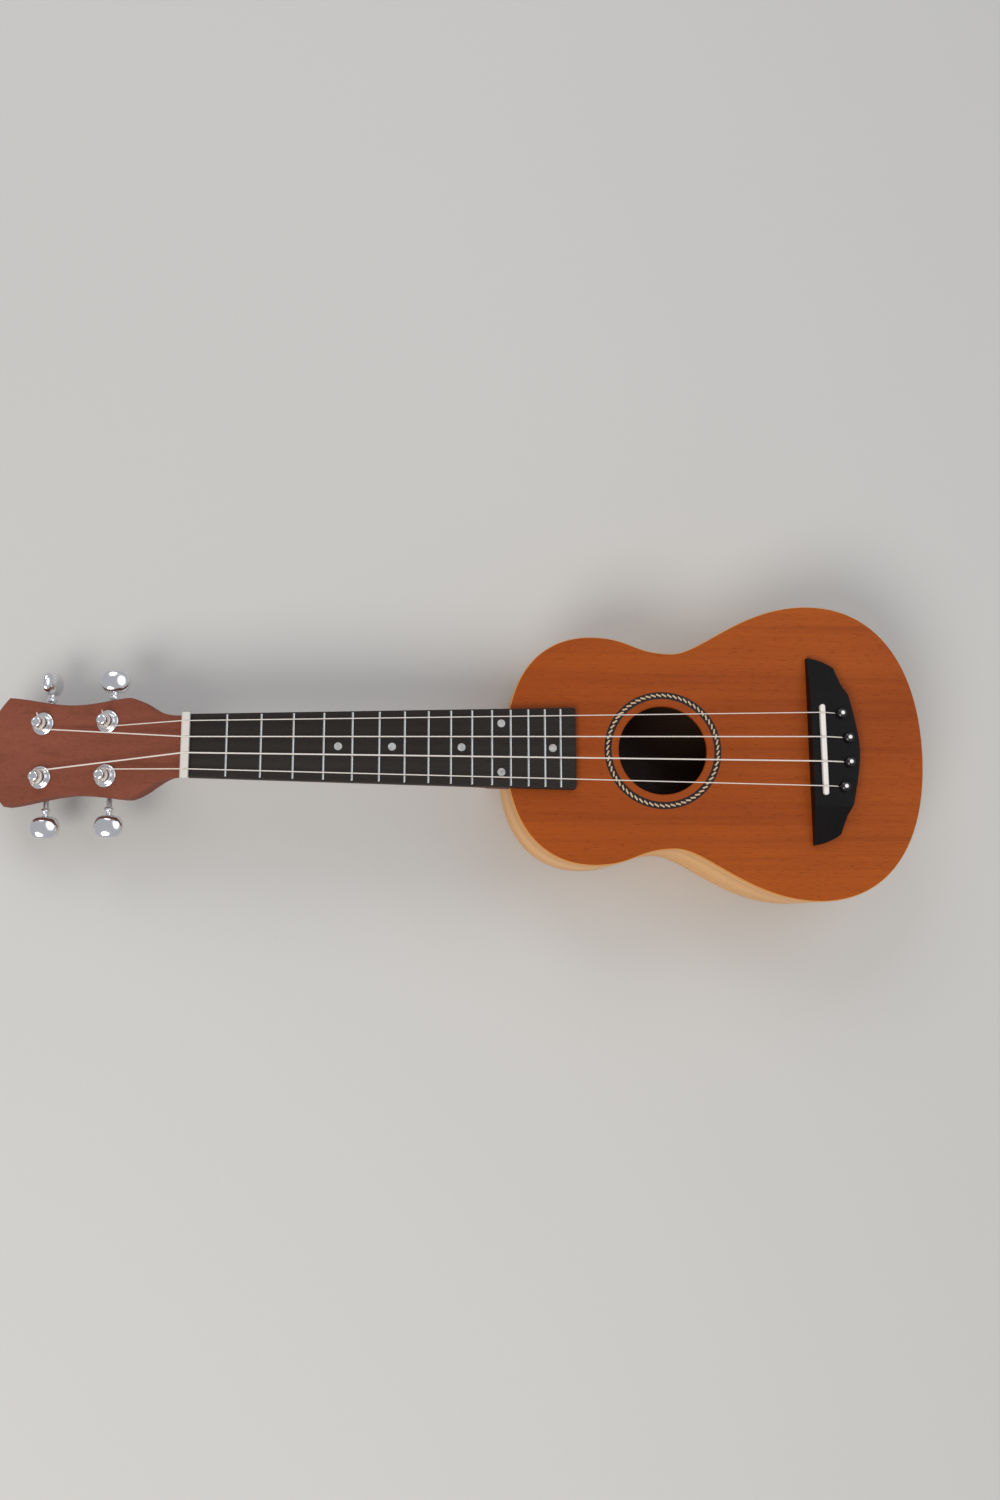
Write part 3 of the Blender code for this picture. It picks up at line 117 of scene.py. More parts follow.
NUT_SPREAD, SADDLE_SPREAD = 0.0262, 0.0412
BRIDGE_TOP = BRIDGE_HIGH.z
OUTER_PIN_BACK, INNER_PIN_BACK = 0.0111, 0.0146
PIN_RADIUS, PIN_HEAD, PIN_HEAD_HEIGHT, PIN_LENGTH = 0.0025, 0.0031, 0.0030, 0.0170
PIN_GROOVE = 0.0016
BRIDGE_BLOCK_HALF, BRIDGE_WING_HALF, BRIDGE_TIP_HALF = 0.032, 0.047, 0.053
BRIDGE_TIP_HEIGHT, BRIDGE_ARCH_FALL = 0.0030, 0.0033
# in from the bridge's back edge, along its middle line
BRIDGE_SHOULDER_IN, BRIDGE_STEP_IN, BRIDGE_WING_IN = 0.0048, 0.0092, 0.0120
BRIDGE_STEP_WIDTH = 0.0065
SADDLE_DEEP, SLOT_DEEP, RAMP_DEEP = 0.0030, 0.0032, 0.0031
# name, steps from the centre line, radius, its post along the head, its button's turn
STRINGS = (
    ("g", -3, 0.000305, NEAR_POST, radians(18)),
    ("c", -1, 0.000420, FAR_POST, radians(28)),
    ("e", 1, 0.000355, FAR_POST, radians(84)),
    ("a", 3, 0.000280, NEAR_POST, radians(25)),
)
THICKEST = max(radius for _, _, radius, _, _ in STRINGS)
NEAR = 0.0001  # how near to a level an edge lies that is chosen by it
PAST = 0.001  # a cutter's reach past a surface, once or a few times
UPRIGHT = 0.9  # how far along an axis a face or an edge that counts as such points
OUTLINE_STEPS, TURN_STEPS, KNOT_STEPS, KNOT_COUNT, BUTTON_STEPS = 24, 36, 20, 33, 22
INLAY_PROUD, MARKER_PROUD, MARKER_DEEP = 0.00002, 0.00003, 0.0010
BOARD_CORNER, NUT_ROUND, SLOT_ROUND, SADDLE_ROUND = 0.0015, 0.0022, 0.00155, 0.00148
FRET_BLANK_HALF, FRET_END_ROUND, FRET_END_IN = 0.015, 0.0005, 0.0007
NUT_SLOT_ROOM, GROOVE_ROOM, TURN_ROOM, RAMP_LENGTH = 0.00008, 0.0002, 0.00006, 0.0026
KNOT_RADIUS, KNOT_PITCH = 0.0009, 0.00022
PILOT_DEEP, WHEEL_HALF, POST_HOLE_RADIUS = 0.0055, 0.0018, 0.0008

HEAD_ALONG = Vector((-cos(HEAD_TILT), 0, -sin(HEAD_TILT)))
HEAD_UP = Vector((-sin(HEAD_TILT), 0, cos(HEAD_TILT)))
HEAD_MATRIX = Matrix.Translation((BREAK_X, 0, TOP_Z)) @ (
    Matrix((-HEAD_ALONG, (0, 1, 0), HEAD_UP)).transposed().to_4x4()
)


# ---- what a user may change
def colour(name, description, default):
    return FloatVectorProperty(
        name=name, description=description, default=default, size=3, min=0, max=1, subtype="COLOR"
    )


def length(name, description, default):
    return FloatProperty(
        name=name, description=description, default=default, min=0, unit="LENGTH", precision=5
    )


class UkuleleSizes(bpy.types.PropertyGroup):
    plate_edge: length("Plate edge", "Rounding of the soundboard's and back's rims", 0.0009)
    neck_edge: length("Neck edge", "Rounding where the neck's top meets its back", 0.0008)
    board_edge: length("Fingerboard edge", "Rounding of the fingerboard's edges", 0.0004)
    bridge_edge: length("Bridge edge", "Rounding of the bridge's edges", 0.0006)
    bone_edge: length("Nut and saddle edge", "Rounding of the nut's and saddle's crowns", 0.0009)
    metal_edge: length("Metal edge", "Rounding of the tuners' pressed and turned edges", 0.00025)
    marker_radius: length(
        "Marker radius", "Radius of the pearl markers in the fingerboard", 0.00215
    )
    pin_dot_radius: length("Pin dot radius", "Radius of the pearl dot in a bridge pin", 0.00115)
    string_tail: length("String tail", "Length of string past its post", 0.0022)
    winding_turns: IntProperty(
        name="Winding turns", description="Turns of string round each post", default=2, min=1, max=2
    )
    string_sides: IntProperty(
        name="String sides",
        description="Steps in a quarter of a string's round",
        default=3,
        min=1,
        max=8,
    )


class UkuleleColours(bpy.types.PropertyGroup):
    top_light: colour("Top light", "Paler bands of the soundboard", (0.385, 0.080, 0.006))
    top_dark: colour("Top dark", "Darker bands of the soundboard", (0.262, 0.045, 0.0025))
    # partly painted highlight: the rim colour is partly the soundboard edge's own wood and partly
    # the light its rounded edge catches
    rim: colour("Rim", "Cut edge of the soundboard", (0.60, 0.27, 0.060))
    side_light: colour("Side light", "Paler wood of the sides and back", (0.90, 0.53, 0.22))
    side_dark: colour("Side dark", "Streaks in the sides and back", (0.62, 0.31, 0.115))
    neck_light: colour("Neck light", "Paler bands of the neck", (0.255, 0.076, 0.043))
    neck_dark: colour("Neck dark", "Darker bands of the neck", (0.160, 0.044, 0.024))
    board: colour("Fingerboard", "Fingerboard wood", (0.030, 0.024, 0.021))
    black: colour("Black", "Bridge and pins", (0.0065, 0.0050, 0.0055))
    bone: colour("Bone", "Nut and saddle", (0.63, 0.59, 0.55))
    nylon: colour("Nylon", "Strings", (0.80, 0.70, 0.60))
    inlay: colour("Inlay", "Pale rope in the rosette", (0.62, 0.45, 0.29))
    pearl: colour("Pearl", "Fingerboard markers", (0.36, 0.35, 0.35))
    raw: colour("Raw wood", "Blocks, linings and braces inside", (0.50, 0.34, 0.19))
    chrome: colour("Chrome", "Tuners", (0.78, 0.78, 0.80))
    floor: colour("Floor", "Floor under the instrument", (0.57, 0.56, 0.54))


# ---- shader sums
def sign(operation, swapped=False):
    """A Math node as an arithmetic sign, between a wire and another or a number."""

    def work(self, other):
        return self.maths(operation, *((other, self) if swapped else (self, other)))

    return work


class Wire:
    """One output in a material. Sums on it add Math nodes."""

    def __init__(self, finish, socket):
        self.finish, self.socket = finish, socket

    def maths(self, operation, *terms):
        return self.finish.node("ShaderNodeMath", {"operation": operation}, dict(enumerate(terms)))

    __add__ = __radd__ = sign("ADD")
    __sub__, __rsub__ = sign("SUBTRACT"), sign("SUBTRACT", swapped=True)
    __mul__ = __rmul__ = sign("MULTIPLY")
    __truediv__, __pow__ = sign("DIVIDE"), sign("POWER")
    above, below = sign("GREATER_THAN"), sign("LESS_THAN")

    def plain(self):
        """The value without its minus sign."""
        return self.maths("ABSOLUTE", self)

    def ease(self, low, high):
        """0 below low, 1 above high, and smooth between."""
        settings = {"interpolation_type": "SMOOTHSTEP"}
        return self.finish.node("ShaderNodeMapRange", settings, {0: self, 1: low, 2: high})


class Finish:
    """A material under construction: one Principled shader and what feeds it."""

    def __init__(self, name, **constants):
        self.material = bpy.data.materials.new(name)
        self.material.use_nodes = True
        self.tree = self.material.node_tree
        self.shader = self.tree.nodes["Principled BSDF"]
        for socket, value in constants.items():
            self.shader.inputs[socket.replace("_", " ")].default_value = value

    def node(self, kind, settings=None, values=None, out=0):
        made = self.tree.nodes.new(kind)
        for key, value in (settings or {}).items():
            setattr(made, key, value)
        for key, value in (values or {}).items():
            self.feed(made.inputs[key], value)
        return Wire(self, made.outputs[out])

    def feed(self, socket, value):
        if isinstance(value, Wire):
            self.tree.links.new(value.socket, socket)
        elif socket.type == "RGBA" and len(value) == 3:
            socket.default_value = (*value, 1)
        else:
            socket.default_value = value

    def place(self, scale=(1, 1, 1), turn=(0, 0, 0), move=(0, 0, 0)):
        """The piece's own place, in metres, stretched for a grain."""
        coordinates = self.node("ShaderNodeTexCoord", out="Object")
        values = {"Vector": coordinates, "Location": move, "Rotation": turn, "Scale": scale}
        return self.node("ShaderNodeMapping", None, values)

    def parts(self, vector):
        made = self.tree.nodes.new("ShaderNodeSeparateXYZ")
        self.feed(made.inputs[0], vector)
        return [Wire(self, socket) for socket in made.outputs]

    def noise(self, vector, scale, detail=3.0, roughness=0.55, warp=0.0):
        values = {"Vector": vector, "Scale": scale, "Detail": detail, "Roughness": roughness}
        return self.node("ShaderNodeTexNoise", None, {**values, "Distortion": warp})

    def mix(self, share, first, second):
        values = {0: share, 6: first, 7: second}
        return self.node("ShaderNodeMix", {"data_type": "RGBA"}, values, out=2)

    def done(self, tone, roughness, height, distance, strength):
        """Feeds the shader its colour, its roughness and a bump of this height."""
        values = {"Strength": strength, "Distance": distance, "Height": height}
        normal = self.node("ShaderNodeBump", None, values)
        for socket, value in (("Base Color", tone), ("Roughness", roughness), ("Normal", normal)):
            self.feed(self.shader.inputs[socket], value)
        return self.material


def dim(tone, share):
    return [c * share for c in tone]


# ---- finishes
def wood_finish(name, light, dark, axis, rough, pore, shine, rim=None, painted_inside_shade=None):
    """Straight-grained wood: soft bands, fine fibres and short open pores along its grain."""
    f = Finish(name, Specular_IOR_Level=shine)

    def grain(along, across, detail=3, roughness=0.55, warp=0.0):
        scale = [along if i == axis else across for i in range(3)]
        return f.noise(f.place(scale), 1.0, detail, roughness, warp)

    bands = grain(0.9, 26, 4, 0.6, 0.5)
    glow = grain(7, 12, 2, 0.5, 0.3)
    fibre = grain(14, 900, 3, 0.65)
    pores = grain(210, 2100, 2, 0.5).ease(0.60, 0.70)
    streaks = grain(3.2, 170, 3, 0.6).ease(0.50, 0.72)
    share = (bands * 0.75 + glow * 0.55 + fibre * 0.30 - 0.42).ease(0.10, 0.72)
    tone = f.mix(share, dark, light)
    tone = f.mix(streaks * 0.30, tone, dim(dark, 0.62))
    tone = f.mix(pores * pore, tone, dim(dark, 0.34))
    if rim or painted_inside_shade:
        up = f.parts(f.node("ShaderNodeNewGeometry", out="Normal"))[2]
    # partly painted highlight: the soundboard's side faces and eased rim outside the rosette take
    # the paler rim colour, partly the edge wood's own tone and partly the light the rounded edge
    # catches
    if rim:
        x, y, _ = f.parts(f.place(move=(-HOLE_X, 0, 0)))
        outside = (x * x + y * y).above(ROSETTE_OUTER**2)
        tone = f.mix(up.plain().below(UPRIGHT) * outside, tone, rim)
    # painted shade: faces that point up, the back's inside face seen through the sound hole, take a
    # near-black tone for the shade inside the body
    if painted_inside_shade:
        tone = f.mix(up.above(UPRIGHT), tone, f.mix(share, dim(painted_inside_shade, 0.6), painted_inside_shade))
    dents = f.noise(f.place(), 60, 2, 0.4)
    height = fibre * 0.5 - pores * 0.8 + dents * 0.6
    roughness = rough + (fibre - 0.5) * 0.12 + (dents - 0.5) * 0.16 + pores * 0.18
    return f.done(tone, roughness, height, 0.00012, 0.55)


def side_finish(name, light, dark):
    """The bent rim's wood, whose grain runs round the body with it."""
    f = Finish(name, Specular_IOR_Level=0.2)
    far = f.node("ShaderNodeAttribute", {"attribute_name": "along"}, out="Fac")
    up = f.parts(f.place())[2]

    def grain(along, across, *settings):
        place = f.node("ShaderNodeCombineXYZ", None, {0: far * along, 1: up * across, 2: 0.37})
        return f.noise(place, 1.0, *settings)

    bands = grain(2.2, 46, 4, 0.6, 0.6)
    streak = grain(1.6, 92, 3, 0.55, 0.8).ease(0.54, 0.70)
    fibre = grain(18, 1100, 3, 0.65)
    pores = grain(160, 1900, 2, 0.5).ease(0.62, 0.70)
    tone = f.mix((bands * 0.9 + fibre * 0.25 - 0.22).ease(0.15, 0.62), dark, light)
    tone = f.mix(streak * 0.42, tone, dim(dark, 0.66))
    tone = f.mix(pores * 0.30, tone, dim(dark, 0.40))
    roughness = 0.42 + (fibre - 0.5) * 0.14 + pores * 0.15
    return f.done(tone, roughness, fibre * 0.5 - pores, 0.00010, 0.5)


def rope_finish(name, pale, black):
    """The rosette: pale slanting strands like a rope, between two black lines."""
    f = Finish(name, Specular_IOR_Level=0.2)
    x, y, _ = f.parts(f.place(move=(-HOLE_X, 0, 0)))
    angle = x.maths("ARCTAN2", y, x) / (2 * pi)
    reach = (x * x + y * y) ** 0.5
    across = (reach - ROSETTE_INNER) / (ROSETTE_OUTER - ROSETTE_INNER)
    strand = angle.maths("FRACT", angle * ROSETTE_TEETH + 100)
    lean = (across - 0.5 - (strand - 0.5) * 0.36).plain()
    rope = lean.below(0.12) * strand.above(0.16)
    grain = f.noise(f.place(), 900, 3, 0.6)
    tone = f.mix(rope, black, f.mix(grain * 0.5, pale, dim(pale, 0.7)))
    rough = 0.34 + (grain - 0.5) * 0.15 + rope * 0.06
    return f.done(tone, rough, rope * 0.4 + grain * 0.3, 0.00006, 0.5)


def smooth_finish(name, tone, rough, metallic, spread, mottle, grain, softness):
    """Polished or moulded surfaces: faint mottling, rubbed patches and hair-fine scratches."""
    f = Finish(name, Metallic=metallic, Subsurface_Weight=softness)
    cloud = f.noise(f.place(), 90, 3, 0.55)
    speck = f.noise(f.place(), grain, 3, 0.6)
    scratch = f.noise(f.place((400, 4200, 400), (0.3, 0.2, 0.9)), 1.0, 2, 0.5).ease(0.56, 0.74)
    shade = f.mix(cloud.ease(0.30, 0.70) * mottle * 2, tone, dim(tone, (1 - mottle) * 0.9))
    roughness = rough + (cloud - 0.5) * spread + (speck - 0.5) * spread * 0.7 + scratch * spread
    return f.done(shade, roughness, speck * 0.4 - scratch * 0.6 + cloud * 0.4, 0.00002, 0.35)


def pearl_finish(name, tone):
    """Mother-of-pearl: drifting pale layers with a cool and a warm tint."""
    f = Finish(name, Specular_IOR_Level=0.6, Coat_Weight=0.3)
    layers = f.noise(f.place((1, 2.6, 1)), 420, 4, 0.6, 1.6)
    tint = f.noise(f.place(), 240, 2, 0.5, 0.8)
    bright = [min(c * 1.35, 1) for c in tone]
    shade = f.mix(layers.ease(0.35, 0.65), dim(tone, 0.72), bright)
    shade = f.mix(tint.ease(0.42, 0.62) * 0.30, shade, (0.50, 0.56, 0.60))
    shade = f.mix(tint.below(0.40) * 0.20, shade, (0.60, 0.50, 0.48))
    return f.done(shade, 0.22 + layers * 0.18, layers, 0.00003, 0.4)


def floor_finish(name, tone):
    f = Finish(name)
    cloud = f.noise(f.place(), 2.2, 3, 0.5)
    speck = f.noise(f.place(), 420, 2, 0.5)
    shade = f.mix(cloud * 0.5 + speck * 0.15, tone, dim(tone, 0.93))
    return f.done(shade, 0.82 + speck * 0.1, speck, 0.0001, 0.25)


# a tone is a colour, the name of one in the panel, or that name with a share of it
# name, light, dark, grain's axis, roughness, pores, shine
WOODS = {
    "top": ("soundboard_mahogany", "top_light", "top_dark", 0, 0.45, 0.38, 0.16),
    "back": ("back_veneer", "side_light", "side_dark", 0, 0.45, 0.35, 0.16),
    "neck": ("neck_mahogany", "neck_light", "neck_dark", 0, 0.60, 0.42, 0.16),
    "board": ("fingerboard_wood", "board", ("board", 0.55), 0, 0.52, 0.50, 0.16),
    "black": ("bridge_black_wood", "black", ("black", 0.6), 1, 0.36, 0.40, 0.12),
    "raw": ("raw_lining_wood", "raw", ("raw", 0.7), 0, 0.80, 0.30, 0.16),
    "spruce": ("brace_spruce", (0.62, 0.46, 0.27), (0.46, 0.31, 0.16), 1, 0.78, 0.15, 0.16),
    "maple": ("plate_maple", (0.60, 0.45, 0.28), (0.50, 0.35, 0.21), 1, 0.70, 0.12, 0.16),
    "dowel": ("dowel_beech", (0.58, 0.42, 0.26), (0.47, 0.31, 0.18), 0, 0.70, 0.25, 0.16),
}
# the back's inside tone is painted shade for the dark inside of the body
WOOD_FACES = {"top": {"rim": "rim"}, "back": {"painted_inside_shade": (0.060, 0.030, 0.018)}}
# name, tone, roughness, metal, its spread, mottling, grain, softness
SMOOTH = {
    "bone": ("white_bone", "bone", 0.34, 0, 0.10, 0.08, 700, 0),
    "saddle": ("saddle_bone", ("bone", 1.3), 0.30, 0, 0.10, 0.05, 700, 0),
    "pin": ("pin_black_gloss", "black", 0.14, 0, 0.06, 0.12, 400, 0),
    "pin_pearl": ("pin_dot_pearl", (0.86, 0.85, 0.82), 0.25, 0, 0.10, 0.05, 900, 0),
    "nylon": ("string_nylon", "nylon", 0.30, 0, 0.10, 0.05, 1500, 0.15),
    "chrome": ("tuner_chrome", "chrome", 0.13, 1, 0.10, 0.05, 400, 0),
    "plated": ("button_plating", "chrome", 0.11, 1, 0.08, 0.04, 400, 0),
    "nickel": ("fret_nickel", (0.66, 0.66, 0.65), 0.26, 1, 0.16, 0.08, 400, 0),
    "steel": ("worm_steel", (0.52, 0.52, 0.53), 0.30, 1, 0.18, 0.12, 400, 0),
    "brass": ("wheel_brass", (0.68, 0.47, 0.20), 0.32, 1, 0.18, 0.12, 400, 0),
}
SPECIAL = {
    "side": (side_finish, "bent_side_wood", "side_light", "side_dark"),
    "rope": (rope_finish, "rosette_rope", "inlay", (0.016, 0.010, 0.009)),
    "pearl": (pearl_finish, "marker_pearl", "pearl"),
    "floor": (floor_finish, "studio_floor", "floor"),
}
FINISHES = {}


def tone_of(tone):
    if isinstance(tone, str):
        return tuple(getattr(bpy.context.scene.ukulele_colours, tone))
    if isinstance(tone[0], str):
        return dim(tone_of(tone[0]), tone[1])
    return tone


def finish(key):
    """Each finish is made once, from its row and the colours in the panel."""
    if key in FINISHES:
        return FINISHES[key]
    if key in WOODS:
        name, light, dark, *settings = WOODS[key]
        faces = {face: tone_of(tone) for face, tone in WOOD_FACES.get(key, {}).items()}
        made = wood_finish(name, tone_of(light), tone_of(dark), *settings, **faces)
    elif key in SMOOTH:
        name, tone, *settings = SMOOTH[key]
        made = smooth_finish(name, tone_of(tone), *settings)
    else:
        maker, name, *tones = SPECIAL[key]
        made = maker(name, *(tone_of(tone) for tone in tones))
    FINISHES[key] = made
    return made


# ---- hand tools
def clear_selection():
    if bpy.context.mode != "OBJECT":
        bpy.ops.object.mode_set(mode="OBJECT")
    bpy.ops.object.select_all(action="DESELECT")


def active(thing):
    clear_selection()
    bpy.context.view_layer.objects.active = thing
    thing.select_set(True)
    return thing


def named(name):
    thing = bpy.context.object
    thing.name = thing.data.name = name
    return thing


def choose(thing, kind, test):
    """In edit mode, selects the corners, edges or faces whose middle and normal pass the test."""
    bpy.ops.mesh.select_mode(type=kind)
    bpy.ops.mesh.select_all(action="DESELECT")
    edited = bmesh.from_edit_mesh(thing.data)
    for part in {"VERT": edited.verts, "EDGE": edited.edges, "FACE": edited.faces}[kind]:
        if kind == "VERT":
            hit = test(part.co, part.normal)
        elif kind == "EDGE":
            low, high = (v.co for v in part.verts)
            hit = test((low + high) / 2, (high - low).normalized())
        else:
            hit = test(part.calc_center_median(), part.normal)
        if hit:
            part.select_set(True)
    edited.select_flush_mode()
    bmesh.update_edit_mesh(thing.data)


def edge_work(thing, *cuts):
    """Rounds edges: each cut has a test that picks them, a width and a number of steps."""
    active(thing)
    bpy.ops.object.mode_set(mode="EDIT")
    for test, width, steps in cuts:
        choose(thing, "EDGE", test)
        bpy.ops.mesh.bevel(offset=width, segments=steps)
    bpy.ops.object.mode_set(mode="OBJECT")
    return thing


def upright(at, way):
    return abs(way.z) > UPRIGHT


def mend(thing):
    """Merges doubled corners and turns the faces outwards."""
    active(thing)
    bpy.ops.object.mode_set(mode="EDIT")
    bpy.ops.mesh.select_all(action="SELECT")
    bpy.ops.mesh.remove_doubles(threshold=0.000002)
    bpy.ops.mesh.normals_make_consistent(inside=False)
    bpy.ops.object.mode_set(mode="OBJECT")


def modify(thing, kind, **settings):
    """Adds a modifier, sets it and applies it."""
    active(thing)
    step = thing.modifiers.new(kind.title(), kind)
    for key, value in settings.items():
        setattr(step, key, value)
    bpy.ops.object.modifier_apply(modifier=step.name)


def carve(thing, *others, operation="DIFFERENCE"):
    """Cuts, joins or trims by other objects, and removes them."""
    for other in others:
        modify(thing, "BOOLEAN", operation=operation, object=other, solver="EXACT")
        bpy.data.objects.remove(other, do_unlink=True)


def ease_edges(thing, width, segments=3, angle=40):
    modify(
        thing,
        "BEVEL",
        width=width,
        segments=segments,
        limit_method="ANGLE",
        angle_limit=radians(angle),
        use_clamp_overlap=True,
        harden_normals=False,
    )


def settle(thing, matrix):
    """Puts a piece in its place, with the place kept in its mesh."""
    active(thing)
    thing.matrix_world = matrix @ thing.matrix_world
    bpy.ops.object.transform_apply(location=True, rotation=True, scale=True)


def smooth(thing, angle=32):
    active(thing)
    bpy.ops.object.shade_smooth_by_angle(angle=radians(angle), keep_sharp_edges=False)
    modify(thing, "WEIGHTED_NORMAL", keep_sharp=True, mode="FACE_AREA")
    return thing


def deliver(thing, body, key, slot=None, *nodes):
    """Gives a piece its finish, its body, and the CAD nodes that it stands for."""
    thing.data.materials.clear()
    thing.data.materials.append(finish(key))
    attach(thing, body)
    if nodes:
        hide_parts(*nodes)
    return thing


def join(things, name):
    clear_selection()
    for thing in things:
        thing.select_set(True)
    bpy.context.view_layer.objects.active = things[0]
    if len(things) > 1:
        bpy.ops.object.join()
    return named(name)


def twin(thing, name, matrix=None):
    """A copy with its own mesh, mirrored or moved."""
    copy = thing.copy()
    copy.data = thing.data.copy()
    copy.name = copy.data.name = name
    bpy.context.scene.collection.objects.link(copy)
    if matrix:
        settle(copy, matrix)
        if matrix.determinant() < 0:
            mend(copy)
    return copy


def block(name, low, high):
    """A rectangular blank between two corners."""
    clear_selection()
    low, high = Vector(low), Vector(high)
    bpy.ops.mesh.primitive_cube_add(size=1, location=(low + high) / 2, scale=high - low)
    bpy.ops.object.transform_apply(location=True, rotation=True, scale=True)
    return named(name)


def turned(name, profile, sides=48, closed=False, centre=(0, 0)):
    """Turned work: a circle drawn up and scaled through (radius, height) steps."""
    clear_selection()
    radius, height = profile[0]
    fill = "NOTHING" if closed else "NGON"
    bpy.ops.mesh.primitive_circle_add(
        vertices=sides, radius=radius, fill_type=fill, location=(0, 0, height)
    )
    thing = named(name)
    bpy.ops.object.transform_apply(location=True, rotation=True, scale=True)
    bpy.ops.object.mode_set(mode="EDIT")
    bpy.ops.mesh.select_all(action="SELECT")
    for wide, up in profile[1:]:
        rise = {"value": (0, 0, up - height)}
        if closed:
            bpy.ops.mesh.extrude_edges_move(TRANSFORM_OT_translate=rise)
        else:
            bpy.ops.mesh.extrude_region_move(TRANSFORM_OT_translate=rise)
        share = wide / radius
        bpy.ops.transform.resize(value=(share, share, 1), center_override=(0, 0, up))
        radius, height = wide, up
    bpy.ops.object.mode_set(mode="OBJECT")
    mend(thing)
    settle(thing, Matrix.Translation((*centre, 0)))
    return thing


def rod(radius, low, high, sides, centre=(0, 0)):
    """A plain round cutter."""
    return turned("rod", [(radius, low), (radius, high)], sides, centre=centre)


def outlined(name, stretches, low, high, edge=0.0, holes=(), steps=OUTLINE_STEPS, cyclic=True):
    """A plate sawn to a curved outline: cubic stretches, with round holes and eased rims."""
    clear_selection()
    bpy.ops.curve.primitive_bezier_circle_add(radius=0.1)
    thing = named(name)
    line = thing.data.splines[0]
    line.use_cyclic_u = cyclic
    count = len(stretches) + (0 if cyclic else 1)
    bpy.ops.object.mode_set(mode="EDIT")
    line = thing.data.splines[0]
    line.bezier_points.add(count - len(line.bezier_points))
    for point in line.bezier_points:
        point.handle_left_type = point.handle_right_type = "FREE"
    for i, (start, leave, arrive, end) in enumerate(stretches):
        point = line.bezier_points[i]
        following = line.bezier_points[(i + 1) % count]
        point.co, point.handle_right = (*start, 0), (*leave, 0)
        following.co, following.handle_left = (*end, 0), (*arrive, 0)
    for x, y, radius in holes:
        bpy.ops.curve.select_all(action="DESELECT")
        bpy.ops.curve.primitive_bezier_circle_add(radius=radius, location=(x, y, 0))
    bpy.ops.object.mode_set(mode="OBJECT")
    data = thing.data
    data.dimensions = "2D" if cyclic else "3D"
    data.fill_mode = "BOTH" if cyclic else "FULL"
    data.resolution_u = steps
    data.extrude = (high - low) / 2 - edge
    data.bevel_depth, data.bevel_resolution, data.offset = edge, 3, -edge
    bpy.ops.object.convert(target="MESH")
    thing = named(name)
    settle(thing, Matrix.Translation((0, 0, (low + high) / 2)))
    mend(thing)
    return thing


def loft(name, rings):
    """A closed skin over rings of equal length, for shapes that change all along."""
    mesh = bpy.data.meshes.new(name)
    count = len(rings[0])
    points = [tuple(point) for ring in rings for point in ring]
    faces = []
    for start in range(0, len(points) - count, count):
        for i in range(start, start + count):
            beside = start + (i + 1 - start) % count
            faces.append((i, beside, beside + count, i + count))
    faces += [tuple(range(count)), tuple(range(len(points) - count, len(points)))]
    mesh.from_pydata(points, [], faces)
    thing = bpy.data.objects.new(name, mesh)
    bpy.context.scene.collection.objects.link(thing)
    mend(thing)
    return thing


def drawn(name, points, radius, sides):
    """String: a round section drawn along a smooth line, made a mesh."""
    clear_selection()
    curve = bpy.data.curves.new(name, "CURVE")
    curve.dimensions, curve.resolution_u = "3D", 1
    curve.bevel_depth, curve.bevel_resolution, curve.use_fill_caps = radius, sides, True
    line = curve.splines.new("POLY")
    line.points.add(len(points) - 1)
    for point, place in zip(line.points, points):
        point.co = (*place, 1)
    thing = bpy.data.objects.new(name, curve)
    bpy.context.scene.collection.objects.link(thing)
    active(thing)
    bpy.ops.object.convert(target="MESH")
    thing = named(name)
    mend(thing)
    bpy.ops.object.shade_smooth_by_angle(angle=radians(50))
    return thing


def soften(points, reach, steps=5):
    """Rounds each corner of a line, starting no more than reach before it."""
    points = [Vector(p) for p in points]
    out = [points[0]]
    for before, corner, after in zip(points, points[1:], points[2:]):
        first, second = before - corner, after - corner
        cut = min(reach, first.length * 0.45, second.length * 0.45)
        start, end = corner + first.normalized() * cut, corner + second.normalized() * cut
        for i in range(steps + 1):
            t = i / steps
            out.append(start * (1 - t) ** 2 + corner * 2 * t * (1 - t) + end * t * t)
    return out + [points[-1]]


# ---- outlines
def cubic(stretch, t):
    a, b, c, d = (Vector(p) for p in stretch)
    u = 1 - t
    return a * u**3 + b * 3 * u * u * t + c * 3 * u * t * t + d * t**3


def level(start, end, leave, arrive):
    """A stretch that leaves and arrives along X, with how far it holds that way at each end."""
    return (start, (start[0] + leave, start[1]), (end[0] - arrive, end[1]), end)


def body_half():
    """Half of the body's outline, from the neck end to the tail."""
    front, upper, waist = (FRONT_X, 0), (UPPER_AT, UPPER_HALF), (WAIST_AT, WAIST_HALF)
    lower, tail = (LOWER_AT, LOWER_HALF), (TAIL_X, 0)
    return (
        (front, (FRONT_X, FRONT_PULL), (UPPER_AT - UPPER_PULL, UPPER_HALF), upper),
        level(upper, waist, UPPER_PULL, WAIST_FRONT_PULL),
        level(waist, lower, WAIST_BACK_PULL, LOWER_PULL),
        (lower, (LOWER_AT + LOWER_PULL, LOWER_HALF), (TAIL_X, TAIL_PULL), tail),
    )


def other_half(stretches):
    return tuple(tuple((x, -y) for x, y in reversed(stretch)) for stretch in reversed(stretches))


def whole_body():
    return body_half() + other_half(body_half())


def string_y(step, spread):
    return step * spread / 6


def pin_x(step):
    return SADDLE_X + (INNER_PIN_BACK if abs(step) == 1 else OUTER_PIN_BACK)


def pin_places():
    for name, step, *_ in STRINGS:
        yield name, pin_x(step), string_y(step, SADDLE_SPREAD)


